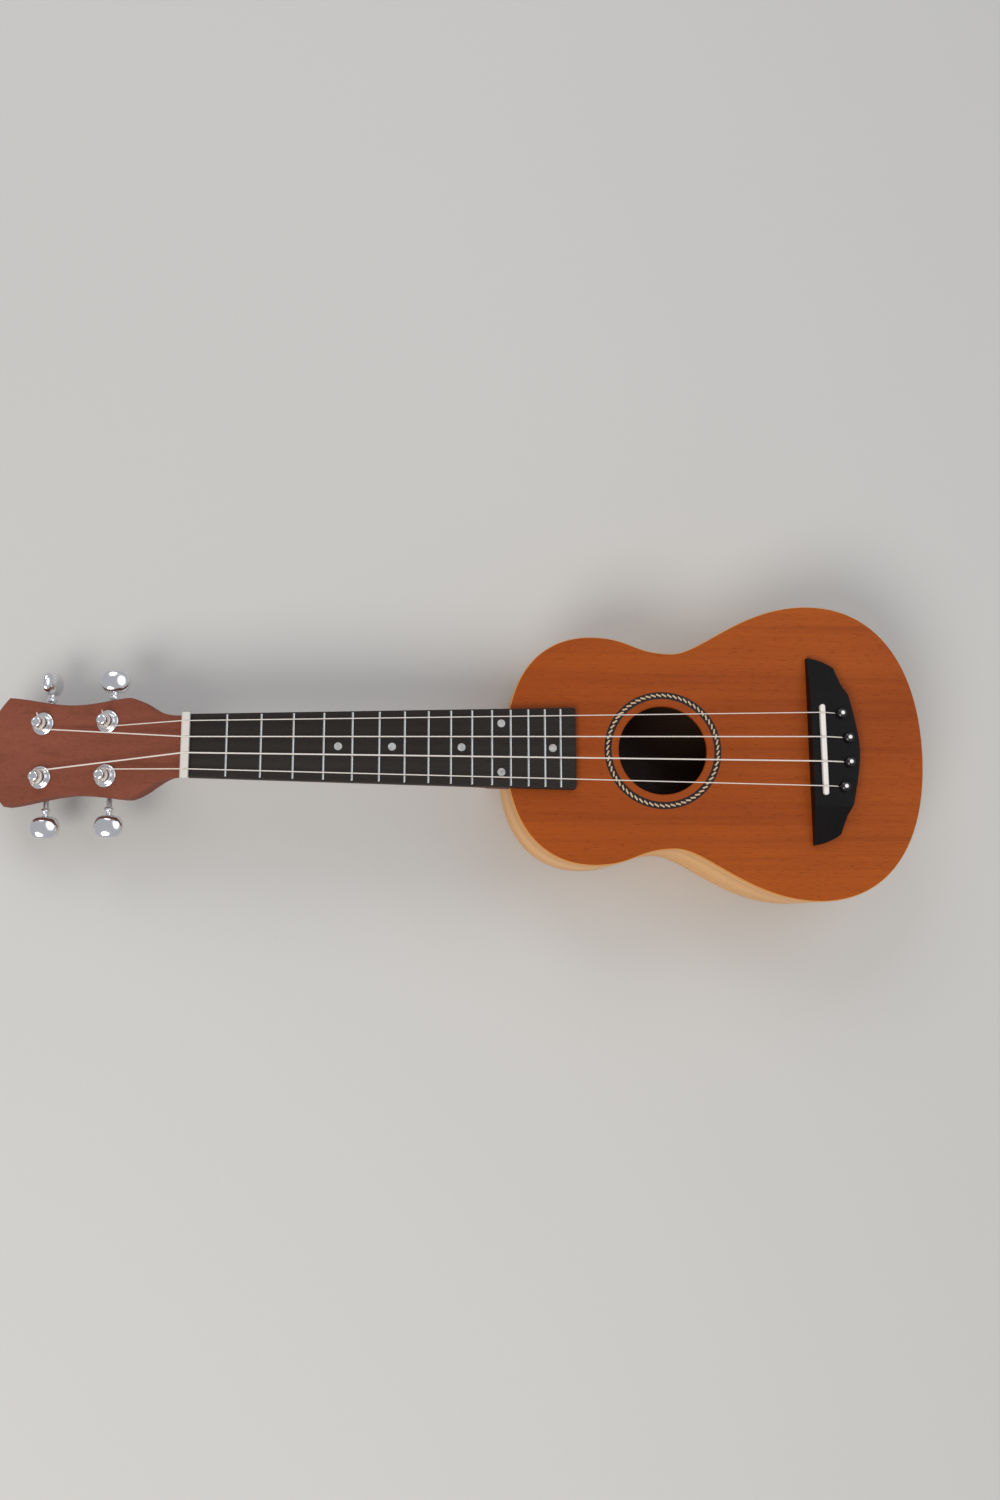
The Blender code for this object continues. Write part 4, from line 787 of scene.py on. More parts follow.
def board_half(x):
    along = (x - NUT_X) / (BOARD_END - NUT_X)
    return BOARD_NUT_HALF + along * (BOARD_END_HALF - BOARD_NUT_HALF)


def fret_x(number):
    return NUT_X + SCALE_LENGTH * (1 - 2 ** (-number / 12))


def on_head(along, across, up):
    return Vector((BREAK_X, across, TOP_Z)) + HEAD_ALONG * along + HEAD_UP * up


def head_place(along, across, up=0.0):
    """A place on the headstock's face, with the head's tilt."""
    return HEAD_MATRIX @ Matrix.Translation((-along, across, up))


def side_of(step):
    return 1 if step > 0 else -1


def tuners():
    for name, step, _, post_at, turn in STRINGS:
        yield name, side_of(step), post_at, turn


def at_tuners(blank, piece, node, body, key, slot, place, angle=None):
    """Puts a copy of a blank at each tuner, and removes the blank."""
    for name, side, post_at, turn in tuners():
        copy = twin(blank, piece.format(name), place(side, post_at, turn))
        if angle:
            smooth(copy, angle)
        deliver(copy, body.format(name), key, slot, node.format(name))
    bpy.data.objects.remove(blank, do_unlink=True)


# ---- body
def rosette_ring(name, top):
    low = ROSETTE_LOW.z
    corners = [
        (ROSETTE_INNER, low), (ROSETTE_OUTER, low), (ROSETTE_OUTER, top), (ROSETTE_INNER, top)
    ]
    return turned(name, corners + corners[:1], 160, True, (HOLE_X, 0))


def make_soundboard(sizes):
    holes = [(HOLE_X, 0, HOLE_RADIUS)]
    holes += [(x, y, PIN_RADIUS + GAP) for _, x, y in pin_places()]
    top = outlined("soundboard_plate", whole_body(), TOP_UNDER, TOP_Z, sizes.plate_edge, holes)
    carve(top, rosette_ring("channel", TOP_Z + PAST))
    deliver(smooth(top), "root", "top", "top_wood", "soundboard")
    ring = rosette_ring("rosette_inlay", TOP_Z + INLAY_PROUD)
    deliver(smooth(ring), "root", "rope", "inlay", "rosette")


def make_back(sizes):
    back = outlined("back_panel", whole_body(), 0, BACK_TOP, sizes.plate_edge)
    deliver(smooth(back), "root", "back", "side_wood", "back_plate")


def outline_lengths(steps=60):
    """Places along the half outline, with how far round the body each one is."""
    places, far = [], 0.0
    for stretch in body_half():
        for i in range(steps):
            here = cubic(stretch, i / steps)
            if places:
                far += (here - places[-1][0]).length
            places.append((here, far))
    return places


def mark_lengths(thing):
    """Writes how far round the body each corner is, for the bent grain."""
    places = outline_lengths()
    marks = thing.data.attributes.new("along", "FLOAT", "POINT")
    for vertex in thing.data.vertices:
        here = Vector((vertex.co.x, abs(vertex.co.y)))
        near = min(places, key=lambda spot: (spot[0] - here).length_squared)
        marks.data[vertex.index].value = near[1] * (1 if vertex.co.y > 0 else -1)


def make_sides(_):
    """The two bent sides: ribbons along each half outline, given their thickness."""
    halves = (("side_treble", body_half(), 1), ("side_bass", other_half(body_half()), -1))
    for name, half, outwards in halves:
        ribbon = outlined(name + "_rim", half, BACK_TOP, TOP_UNDER, cyclic=False)
        active(ribbon)
        bpy.ops.object.mode_set(mode="EDIT")
        choose(ribbon, "FACE", lambda at, n: n.y * outwards < 0 and abs(at.x - LOWER_AT) < 2 * PAST)
        if any(face.select for face in bmesh.from_edit_mesh(ribbon.data).faces):
            bpy.ops.mesh.select_all(action="SELECT")
            bpy.ops.mesh.flip_normals()
        bpy.ops.object.mode_set(mode="OBJECT")
        modify(ribbon, "SOLIDIFY", thickness=SIDE_THICKNESS, offset=-1, use_even_offset=True)
        mend(ribbon)
        mark_lengths(ribbon)
        deliver(smooth(ribbon), "root", "side", "side_wood", name)


# ---- neck
def neck_ring(centre, half, depth, squareness, tilt, edge, belly=40, corner=4, flat=8):
    """One section of the neck: flat top, eased corners and a rounded back."""
    down = Vector((sin(tilt), 0, -cos(tilt)))
    corners = [pi / 2 * i / corner for i in range(1, corner + 1)]
    section = []
    for i in range(belly + 1):
        turn = pi * i / belly
        across = half * abs(cos(turn)) ** (2 / squareness) * (1 if turn <= pi / 2 else -1)
        fall = edge + (depth - edge) * max(sin(turn), 0.0) ** (2 / squareness)
        section.append((across, fall))
    section += [(-half + edge * (1 - cos(turn)), edge * (1 - sin(turn))) for turn in corners]
    section += [((half - edge) * (-1 + 2 * i / flat), 0) for i in range(1, flat)]
    section += [(half - edge * (1 - cos(turn)), edge * (1 - sin(turn))) for turn in corners[::-1]]
    return [centre + Vector((0, across, 0)) + down * fall for across, fall in section]


def head_half():
    """Half of the headstock's outline, from the tilt line to its crown."""
    start = board_half(BREAK_X)
    shoulder, necking = (SHOULDER_AT, SHOULDER_HALF), (NECKING_AT, NECKING_HALF)
    corner = (CORNER_AT, CORNER_HALF)
    return (
        (
            (0, start),
            (SHOULDER_AT / 2, start),
            (SHOULDER_AT - 0.0105, SHOULDER_HALF - 0.0024),
            shoulder,
        ),
        (
            shoulder,
            (SHOULDER_AT + 0.004, SHOULDER_HALF + 0.0009),
            (NECKING_AT - 0.014, NECKING_HALF),
            necking,
        ),
        (
            necking,
            (NECKING_AT + 0.014, NECKING_HALF),
            (CORNER_AT - 0.013, CORNER_HALF - 0.001),
            corner,
        ),
        (
            corner,
            (CORNER_AT + 0.006, CORNER_HALF - 0.0061),
            (HEAD_LENGTH, CORNER_HALF * 0.4),
            (HEAD_LENGTH, 0),
        ),
    )


def neck_rings(edge):
    """The neck's sections: inside the body, up the heel, along the shaft and over the head."""
    fine = edge * 0.4
    rings = []

    def under_board(x, half, depth, squareness):
        rings.append(neck_ring(Vector((x, 0, TOP_Z)), half, depth, squareness, 0, fine))

    cap_start = FRONT_X - HEEL_CAP
    sweep_start = cap_start - HEEL_SWEEP
    for x in (FRONT_X + 0.006, FRONT_X - 0.002, cap_start):
        under_board(x, board_half(x), HEEL_DEPTH, HEEL_SQUARENESS)
    for i in range(1, HEEL_STEPS + 1):
        share = 1 - (i / HEEL_STEPS) ** HEEL_CROWDING
        x = sweep_start + share * HEEL_SWEEP
        depth = HEEL_DEPTH - (HEEL_DEPTH - NECK_DEPTH_HEEL) * sqrt(1 - share * share)
        under_board(
            x, board_half(x), depth, SHAFT_SQUARENESS - (SHAFT_SQUARENESS - HEEL_SQUARENESS) * share
        )
    for i in range(1, SHAFT_STEPS + 1):
        share = i / SHAFT_STEPS
        x = sweep_start + (NUT_X + 0.004 - sweep_start) * share
        depth = NECK_DEPTH_HEEL + (NECK_DEPTH_NUT - NECK_DEPTH_HEEL) * share
        under_board(
            x, board_half(x), depth, SHAFT_SQUARENESS + (NUT_SQUARENESS - SHAFT_SQUARENESS) * share
        )
    under_board(NUT_X - 0.002, board_half(NUT_X), NECK_DEPTH_NUT, NUT_SQUARENESS)
    for stretch in head_half():
        for i in range(HEAD_STEPS):
            along, half = cubic(stretch, i / HEAD_STEPS)
            bend = min(along / HEAD_BEND, 1)
            depth = NECK_DEPTH_NUT + bend * (HEAD_THICKNESS - NECK_DEPTH_NUT)
            tilt = HEAD_TILT * (1 if along else HEAD_LEAN_AT_BREAK)
            round_off = min(fine + bend * (edge - fine), half * 0.4)
            square = NUT_SQUARENESS + HEAD_SQUARING * bend**2
            rings.append(neck_ring(on_head(along, 0, 0), half, depth, square, tilt, round_off))
    half = cubic(head_half()[-1], 0.985).y
    tip = on_head(HEAD_LENGTH - 2 * NEAR, 0, 0)
    round_off = min(edge, half * 0.3)
    rings.append(neck_ring(tip, half, HEAD_THICKNESS, HEAD_SQUARENESS, HEAD_TILT, round_off))
    return rings


def make_neck(sizes):
    neck = loft("neck_shaft", neck_rings(sizes.neck_edge))
    carve(neck, outlined("fitted_end", whole_body(), -10 * PAST, TOP_Z + 20 * PAST))
    for _, side, post_at, _ in tuners():
        bore = rod(BUSHING_RADIUS, -HEAD_THICKNESS - 4 * PAST, 4 * PAST, 40)
        settle(bore, head_place(post_at, side * POST_ACROSS))
        pilot = rod(SCREW_RADIUS, -HEAD_THICKNESS - 4 * PAST, -PILOT_DEEP, 16)
        settle(pilot, head_place(post_at, side * SCREW_ACROSS))
        carve(neck, bore, pilot)
    socket = rod(DOWEL_RADIUS, -DOWEL_REACH, DOWEL_REACH, 32)
    settle(socket, Matrix.Translation((FRONT_X, 0, DOWEL_Z)) @ Matrix.Rotation(pi / 2, 4, "Y"))
    carve(neck, socket)
    deliver(smooth(neck, 38), "root", "neck", "neck_wood", "neck")


def make_fingerboard(sizes):
    board = block(
        "fingerboard_blank", (NUT_X, -BOARD_NUT_HALF, TOP_Z), (BOARD_END, BOARD_NUT_HALF, BOARD_TOP)
    )
    bpy.ops.object.mode_set(mode="EDIT")
    choose(board, "VERT", lambda at, n: at.x > BOARD_END - PAST)
    share = BOARD_END_HALF / BOARD_NUT_HALF
    bpy.ops.transform.resize(value=(1, share, 1), center_override=(BOARD_END, 0, TOP_Z))
    edge_work(
        board,
        (lambda at, way: upright(at, way) and at.x > BOARD_END - PAST, BOARD_CORNER, 6),
        (lambda at, way: at.z > BOARD_TOP - NEAR and at.x > NUT_X + PAST, sizes.board_edge, 3),
    )
    dots = []
    radius = sizes.marker_radius
    steps = [
        (radius, BOARD_TOP - MARKER_DEEP),
        (radius, BOARD_TOP),
        (radius * 0.96, BOARD_TOP + MARKER_PROUD),
    ]
    for number, (space, across) in enumerate(MARKERS):
        x = (fret_x(space) + fret_x(space - 1)) / 2
        dots.append(turned(f"dot_{number}", steps, 40, centre=(x, across)))
        carve(board, twin(dots[-1], "recess"))
    deliver(smooth(board), "root", "board", "board_wood", "fingerboard")
    deliver(smooth(join(dots, "fingerboard_markers")), "root", "pearl")
    make_frets()


def make_frets():
    """Fret wire: half a rod with rounded ends, stretched to the board's width at each fret."""
    clear_selection()
    bpy.ops.mesh.primitive_cylinder_add(
        vertices=32, radius=FRET_HEIGHT, depth=2 * FRET_BLANK_HALF, rotation=(pi / 2, 0, 0)
    )
    bpy.ops.transform.resize(value=(FRET_HALF / FRET_HEIGHT, 1, 1))
    fret = named("fret_blank")
    bpy.ops.object.transform_apply(location=True, rotation=True, scale=True)
    bpy.ops.object.mode_set(mode="EDIT")
    bpy.ops.mesh.select_all(action="SELECT")
    bpy.ops.mesh.bisect(plane_co=(0, 0, 0), plane_no=(0, 0, 1), use_fill=True, clear_inner=True)
    edge_work(
        fret,
        (lambda at, way: abs(at.y) > FRET_BLANK_HALF - NEAR and at.z > NEAR, FRET_END_ROUND, 3),
    )
    frets = []
    for number in range(1, FRET_COUNT + 1):
        x = fret_x(number)
        copy = twin(fret, f"fret_{number}", Matrix.Translation((x, 0, BOARD_TOP)))
        spread = board_half(x) - FRET_END_IN - FRET_BLANK_HALF
        for vertex in copy.data.vertices:
            vertex.co.y += spread if vertex.co.y > 0 else -spread
        frets.append(copy)
    bpy.data.objects.remove(fret, do_unlink=True)
    deliver(smooth(join(frets, "fret_wires"), 40), "root", "nickel", "steel")


def make_nut(sizes):
    half = NUT_HIGH.y
    nut = block("nut_bone", (NUT_LOW.x, -half, TOP_Z), (NUT_X, half, NUT_HIGH.z))

    def outer(at, way):
        return at.z > NUT_HIGH.z - NEAR and at.x < NUT_X - PAST and abs(way.y) > UPRIGHT

    edge_work(nut, (outer, NUT_ROUND, 8))
    ease_edges(nut, sizes.bone_edge * 0.35)
    for _, step, radius, post_at, _ in STRINGS:
        post, ahead, *_ = string_line(step, radius, post_at)
        y, low = string_y(step, NUT_SPREAD), nut_height(radius)
        line = [(NUT_X + 2 * PAST, y, low), (NUT_X - 0.0005, y, low), ahead + (post - ahead) * 0.2]
        reach = radius + NUT_SLOT_ROOM
        groove = drawn("groove", line, reach, 4)
        mouth = block(
            "mouth", (NUT_LOW.x - PAST, y - reach, low), (
                NUT_X + PAST, y + reach, NUT_HIGH.z + PAST
            )
        )
        carve(nut, groove, mouth)
    deliver(smooth(nut), "root", "bone", "white_bone", "nut")


# ---- bridge
def bridge_half():
    """Half of the bridge's outline: straight front, curved tip, wing, step and arched back."""
    back, front = BRIDGE_HIGH.x, BRIDGE_LOW.x
    tip, half_block = BRIDGE_TIP_HALF, BRIDGE_BLOCK_HALF
    end, wing = (front, tip), (back - BRIDGE_WING_IN, BRIDGE_WING_HALF)
    step = (back - BRIDGE_STEP_IN, half_block + BRIDGE_STEP_WIDTH)
    shoulder = (back - BRIDGE_SHOULDER_IN, half_block - 0.002)

    def straight(start, finish):
        return (start, *(tuple(Vector(start).lerp(finish, i / 3)) for i in (1, 2)), finish)

    return (
        straight((front, 0), end),
        (end, (front + 0.005, tip - 0.0005), (wing[0] - 0.0035, wing[1] + 0.0030), wing),
        straight(wing, step),
        (
            step,
            (step[0] + 0.0010, half_block + BRIDGE_STEP_WIDTH / 2),
            (shoulder[0] - 0.001, half_block + 0.001),
            shoulder,
        ),
        (
            shoulder,
            (back - BRIDGE_ARCH_FALL, half_block * 0.72),
            (back, half_block * 0.30),
            (back, 0),
        ),
    )


def make_bridge(sizes):
    outline = bridge_half() + other_half(bridge_half())
    bridge = outlined("bridge_body", outline, TOP_Z, BRIDGE_TOP + 4 * PAST, steps=16)
    wide = BRIDGE_TIP_HALF + 3 * PAST
    side_view = block(
        "side_view",
        (BRIDGE_LOW.x - 3 * PAST, -wide, TOP_Z - 2 * PAST),
        (BRIDGE_HIGH.x + 3 * PAST, wide, BRIDGE_TOP),
    )
    bpy.ops.object.mode_set(mode="EDIT")
    for y in (-BRIDGE_BLOCK_HALF, BRIDGE_BLOCK_HALF):
        bpy.ops.mesh.select_all(action="SELECT")
        bpy.ops.mesh.bisect(plane_co=(0, y, 0), plane_no=(0, 1, 0))
    choose(
        side_view, "VERT", lambda at, n: at.z > BRIDGE_TOP - PAST and abs(at.y) > BRIDGE_WING_HALF
    )
    tip_drop = TOP_Z + BRIDGE_TIP_HEIGHT - BRIDGE_TOP
    slope = (wide - BRIDGE_BLOCK_HALF) / (BRIDGE_TIP_HALF - BRIDGE_BLOCK_HALF)
    bpy.ops.transform.translate(value=(0, 0, tip_drop * slope))
    bpy.ops.object.mode_set(mode="OBJECT")
    carve(bridge, side_view, operation="INTERSECT")
    mend(bridge)
    ease_edges(bridge, sizes.bridge_edge, angle=25)
    slot = block(
        "slot",
        (SADDLE_LOW.x - NEAR, SADDLE_LOW.y - NEAR, BRIDGE_TOP - SLOT_DEEP),
        (SADDLE_HIGH.x + NEAR, SADDLE_HIGH.y + NEAR, BRIDGE_TOP + 4 * PAST),
    )
    carve(bridge, edge_work(slot, (upright, SLOT_ROUND, 8)))
    low, high, reach = TOP_Z - 2 * PAST, BRIDGE_TOP + 3 * PAST, THICKEST + GROOVE_ROOM
    for _, x, y in pin_places():
        hole = rod(PIN_RADIUS + NEAR / 2, low, high, 40, (x, y))
        way = block("way", (x - PIN_RADIUS - GAP, y - reach, low), (x, y + reach, high))
        ramp_start = x - PIN_HEAD - RAMP_LENGTH
        ramp = block(
            "ramp", (ramp_start, y - reach, BRIDGE_TOP - RAMP_DEEP), (x - PAST / 2, y + reach, high)
        )
        bpy.ops.object.mode_set(mode="EDIT")
        choose(ramp, "VERT", lambda at, n: at.x < ramp_start + PAST / 2 and at.z < BRIDGE_TOP)
        bpy.ops.transform.translate(value=(0, 0, RAMP_DEEP + NEAR))
        bpy.ops.object.mode_set(mode="OBJECT")
        carve(bridge, hole, way, ramp)
    deliver(smooth(bridge, 30), "root", "black", "black_satin", "bridge")


def make_saddle(sizes):
    saddle = block(
        "saddle_bone", (SADDLE_LOW.x, SADDLE_LOW.y, BRIDGE_TOP - SADDLE_DEEP), SADDLE_HIGH
    )
    edge_work(
        saddle,
        (upright, SADDLE_ROUND, 8),
        (lambda at, way: at.z > SADDLE_HIGH.z - NEAR, sizes.bone_edge, 6),
    )
    mend(saddle)
    deliver(smooth(saddle), "root", "saddle", "white_bone", "saddle")


def make_pins(sizes):
    seat = BRIDGE_TOP + NEAR / 2
    foot = seat - PIN_LENGTH
    dome = [
        (PIN_HEAD * cos(turn), seat + PIN_HEAD_HEIGHT * (0.3 + 0.7 * sin(turn)))
        for turn in (radians(a) for a in range(0, 66, 8))
    ]
    profile = [(PIN_RADIUS * 0.80, foot), (PIN_RADIUS * 0.9, foot + 0.0006)]
    profile += [(PIN_RADIUS, seat - 0.0006), (PIN_RADIUS, seat), (PIN_HEAD * 0.93, seat + NEAR)]
    profile += dome
    dot, dot_seat, top = sizes.pin_dot_radius, seat + PIN_HEAD_HEIGHT / 2, dome[-1][1]
    steps = [(dot, dot_seat), (dot, top - NEAR), (dot * 0.88, top + 0.00012)]
    steps += [(dot * 0.55, top + 0.00026), (dot * 0.15, top + 0.00030)]
    reach = THICKEST + GROOVE_ROOM
    for name, x, y in pin_places():
        pin = turned(f"bridge_pin_{name}_turned", profile, 40, centre=(x, y))
        edge = x - PIN_RADIUS
        groove = block(
            "groove", (edge - 2 * PAST, y - reach, foot - PAST), (
                edge + PIN_GROOVE, y + reach, seat - 2 * NEAR
            )
        )
        carve(pin, groove, rod(dot, dot_seat, seat + 6 * PAST, 32, (x, y)))
        deliver(smooth(pin, 40), "root", "pin", "pin_black", f"bridge_pin_{name}")
        pearl = turned(f"pin_dot_{name}", steps, 32, centre=(x, y))
        deliver(smooth(pearl, 60), "root", "pin_pearl")


# ---- strings
def nut_height(radius):
    return BOARD_HIGH.z + 0.0006 + radius


def coil_up(radius):
    return BUSHING_TOP + 0.00015 + radius


def string_line(step, radius, post_at):
    """The string's line from its post, over the nut and saddle, down into the pin's hole."""
    nut_y, y = string_y(step, NUT_SPREAD), string_y(step, SADDLE_SPREAD)
    height, crown = nut_height(radius), SADDLE_HIGH.z + radius
    down_x = pin_x(step) - PIN_RADIUS + PIN_GROOVE / 4
    post = on_head(post_at, side_of(step) * (POST_ACROSS - POST_RADIUS - radius), coil_up(radius))
    places = (
        post,
        (NUT_X - 0.0030, nut_y, height - NEAR / 2),
        (NUT_X, nut_y, height),
        (SADDLE_X - 0.0006, y, crown),
        (SADDLE_X + 0.0006, y, crown),
        (pin_x(step) - PIN_HEAD - 0.0010, y, BRIDGE_TOP + radius),
        (down_x - 0.0005, y, BRIDGE_TOP - 0.0016),
        (down_x, y, BRIDGE_TOP - 0.0036),
        (down_x, y, PLATE_UNDER - 0.0006),
    )
    return [Vector(place) for place in places]


def make_strings(sizes):
    for name, step, radius, post_at, _ in STRINGS:
        line = soften(string_line(step, radius, post_at), 0.0012, 6)
        string = drawn(f"string_{name}_nylon", line, radius, sizes.string_sides)
        turns = (2 * pi * i / KNOT_STEPS for i in range(KNOT_COUNT))
        knot_line = [
            line[-1] + Vector(
                (KNOT_RADIUS * (cos(a) - 1), KNOT_RADIUS * sin(a), -KNOT_PITCH * a / pi)
            )
            for a in turns
        ]
        knot = drawn("knot", knot_line, radius, sizes.string_sides)
        string = join([string, knot], f"string_{name}_nylon")
        deliver(string, "root", "nylon", "nylon", f"string_{name}")


def make_windings(sizes):
    """The turns on each post, the pass through its cross hole and the cut tail."""
    for name, step, radius, post_at, _ in STRINGS:
        side = side_of(step)
        reach = POST_RADIUS + radius
        line = []
        for i in range(sizes.winding_turns * TURN_STEPS + 1):
            turn = -side * pi / 2 - side * 2 * pi * i / TURN_STEPS
            rise = coil_up(radius) + (2 * radius + TURN_ROOM) * i / TURN_STEPS
            line.append(Vector((reach * cos(turn), reach * sin(turn), rise)))
        last = line[-1]
        enter = Vector((0, -side * (POST_RADIUS + radius * 0.6), POST_HOLE_UP))
        aside = last.lerp(enter, 0.5) - Vector((0, side * 0.0004, 0))
        middle = Vector((0, side * (POST_RADIUS + 0.0006), POST_HOLE_UP))
        leave = Vector((0, side * (POST_RADIUS + sizes.string_tail), POST_HOLE_UP + 0.0010))
        line += soften([last, aside, enter, middle, leave], 0.0009)[1:]
        coil = drawn(f"winding_{name}_nylon", line, radius, sizes.string_sides)
        settle(coil, head_place(post_at, side * POST_ACROSS))
        deliver(coil, f"post_{name}", "nylon", "nylon", f"winding_{name}")


# ---- tuners
def at_post(side, post_at, _):
    return head_place(post_at, side * POST_ACROSS)


def make_posts(sizes):
    e, r = sizes.metal_edge, POST_RADIUS
    journal, seat = r * 0.6, r * 0.75
    base = WHEEL_UP - WORM_OUTER - GAP - CASE_FLOOR
    low, high = WHEEL_UP - WHEEL_HALF, WHEEL_UP + WHEEL_HALF
    profile = [
        (journal - e, base),
        (journal, base + e),
        (journal, low),
        (seat, low),
        (seat, high),
        (r, high),
    ]
    crown = ((1, 0.0009), (0.94, 0.0004), (0.82, 0.0001), (0.62, 0), (0.50, 0.0002))
    profile += [(r * share, POST_HEIGHT - fall) for share, fall in crown]
    post = turned("post_blank", profile)
    drill = rod(POST_HOLE_RADIUS, -5 * PAST, 5 * PAST, 24)
    settle(drill, Matrix.Translation((0, 0, POST_HOLE_UP)) @ Matrix.Rotation(pi / 2, 4, "X"))
    carve(post, drill)
    smooth(post, 35)
    at_tuners(post, "post_{}_turned", "tuner_post_{}", "post_{}", "chrome", "chrome", at_post)


def make_bushings(sizes):
    e = sizes.metal_edge
    bore, head, rim = POST_RADIUS + GAP, BUSHING_HEAD, WASHER_RADIUS
    sleeve = [(bore, -HEAD_THICKNESS), (BUSHING_RADIUS, -HEAD_THICKNESS), (BUSHING_RADIUS, 0)]
    washer = [(rim - e, 0), (rim, e), (rim, WASHER_TOP - 2 * e)]
    washer += [(rim - e, WASHER_TOP - e), (rim - 3 * e, WASHER_TOP)]
    collar = [(head, WASHER_TOP), (head, BUSHING_TOP - 2 * e), (head - e, BUSHING_TOP - e / 2)]
    collar += [
        (head - 2 * e, BUSHING_TOP), (bore + e, BUSHING_TOP), (bore, BUSHING_TOP - e), sleeve[0]
    ]
    bushing = smooth(turned("bushing_blank", sleeve + washer + collar, 56, True), 30)
    at_tuners(bushing, "bushing_{}_turned", "tuner_bushing_{}", "root", "chrome", "chrome", at_post)


def make_cases(sizes):
    """The pressed gear covers on the head's back, hollow, with their bores and screw tabs."""
    top = -HEAD_THICKNESS - INLAY_PROUD
    floor = WHEEL_UP - WORM_OUTER - GAP
    bottom, back = floor - CASE_FLOOR, top - TAB_THICKNESS
    low_x, inner = -CENTRES - WORM_OUTER - GAP - CASE_WALL, CASE_HALF - CASE_WALL
    case = block("case_blank", (low_x, -CASE_HALF, bottom), (CASE_HALF, CASE_HALF, top))
    edge_work(case, (upright, 0.0012, 5), (lambda at, way: at.z < bottom + NEAR, 0.0007, 4))
    tab_in = SCREW_ACROSS - TAB_LENGTH / 2 - POST_ACROSS
    tab = block("tab", (-SCREW_HEAD - CASE_WALL, tab_in, back), (SCREW_HEAD + CASE_WALL, 0, top))
    edge_work(
        tab,
        (lambda at, way: upright(at, way) and at.y < -4 * PAST, 0.0024, 8),
        (lambda at, way: at.z < back + NEAR, 0.0003, 2),
    )
    carve(case, tab, operation="UNION")
    hollow = block("hollow", (low_x + CASE_WALL, -inner, floor), (inner, inner, top + 2 * PAST))
    pivot = rod(POST_RADIUS * 0.6 + GAP, bottom - PAST, floor + PAST, 32)
    spot = (0, SCREW_ACROSS - POST_ACROSS)
    hole = rod(SCREW_RADIUS + NEAR, -HEAD_THICKNESS - 3 * PAST, 0, 24, spot)
    shaft = rod(SHAFT_RADIUS + GAP, -CASE_HALF - 2 * PAST, CASE_HALF + 2 * PAST, 32)
    settle(shaft, Matrix.Translation((-CENTRES, 0, WHEEL_UP)) @ Matrix.Rotation(pi / 2, 4, "X"))
    carve(case, hollow, pivot, hole, shaft)
    smooth(case, 30)

    def place(side, post_at, _):
        return head_place(post_at, side * POST_ACROSS) @ Matrix.Diagonal((1, side, 1, 1))

    at_tuners(case, "case_{}_pressed", "tuner_case_{}", "root", "chrome", "chrome", place, 30)


def make_screws(_):
    """Round-headed screws with a cross, through the cases' tabs."""
    back = -HEAD_THICKNESS - INLAY_PROUD - TAB_THICKNESS
    tall, r = SCREW_HEAD_HEIGHT, SCREW_RADIUS
    dome = ((0.45, 1), (0.80, 0.8), (1, 0.25), (1, 0))
    steps = [(SCREW_HEAD * share, back - tall * rise) for share, rise in dome]
    steps += [(r, back), (r, back + SCREW_LENGTH * 0.7), (r * 0.2, back + SCREW_LENGTH)]
    screw = turned("screw_blank", steps, 32)
    long, half = SCREW_HEAD * 1.1 * 0.72, 0.00022
    for x, y in ((long, half), (half, long)):
        carve(screw, block("kerf", (-x, -y, back - 2 * PAST), (x, y, back - tall * 0.45)))
    smooth(screw, 35)

    def place(side, post_at, _):
        return head_place(post_at, side * SCREW_ACROSS) @ Matrix.Rotation(post_at * 40, 4, "Z")

    at_tuners(screw, "screw_{}_turned", "tuner_screw_{}", "root", "steel", "steel", place)


def make_buttons(_):
    inner = BUTTON_OUT - BUTTON_LENGTH
    start = inner - COLLAR_LENGTH
    bore, c = SHAFT_RADIUS + GAP, COLLAR_RADIUS
    bead = (
        (0.70, 0),
        (0.93, 0.0003),
        (1, 0.0008),
        (1, 0.0018),
        (0.93, 0.0024),
        (0.74, 0.0028),
        (0.70, 0.0031),
    )
    collar = [(bore, start), *((c * share, start + up) for share, up in bead)]
    collar += [(c * 0.70, inner + 0.0006), (bore, inner + 0.0006), (bore, start)]
    ferrule = turned("ferrule", collar, 40, True)

    profile = []
    for i in range(BUTTON_STEPS + 1):
        lean = -pi / 2 + pi * (i + 0.3) / (BUTTON_STEPS + 0.6)
        profile.append(
            (BUTTON_WIDTH / 2 * cos(lean) ** 0.55, inner + BUTTON_LENGTH / 2 * (1 + sin(lean)))
        )
    oval = turned("oval", profile, 56)
    settle(oval, Matrix.Diagonal((1, BUTTON_THICKNESS / BUTTON_WIDTH, 1, 1)))
    carve(oval, rod(SHAFT_RADIUS + GAP / 2, start, inner + BUTTON_LENGTH / 2, 32))
    button = smooth(join([oval, ferrule], "button_blank"), 40)
    lie = Matrix.Rotation(-pi / 2, 4, "X")

    def place(side, post_at, turn):
        centre = head_place(post_at + CENTRES, 0, WHEEL_UP)
        return centre @ (Matrix.Rotation(turn, 4, "Y") @ Matrix.Diagonal((1, side, 1, 1)) @ lie)

    at_tuners(
        button, "button_{}_plated", "button_{}", "knob_{}", "plated", "plated_button", place, 40
    )


# ---- carried-over pieces
CARRIED = {
    "raw": ("neck_block", "tail_block", "lining_top", "lining_back"),
    "spruce": ("soundhole_brace", "lower_brace", "upper_back_brace", "lower_back_brace"),
    "maple": ("bridge_plate",),
    "dowel": ("neck_dowel",),
    "steel": tuple(f"worm_{name}" for name in "gcea"),
    "brass": tuple(f"worm_wheel_{name}" for name in "gcea"),
}


def finish_inside(_):
    """The pieces kept as they are get their finish in their material slots."""
    for key, nodes in CARRIED.items():
        for node in nodes:
            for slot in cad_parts[node].material_slots:
                slot.material = finish(key)


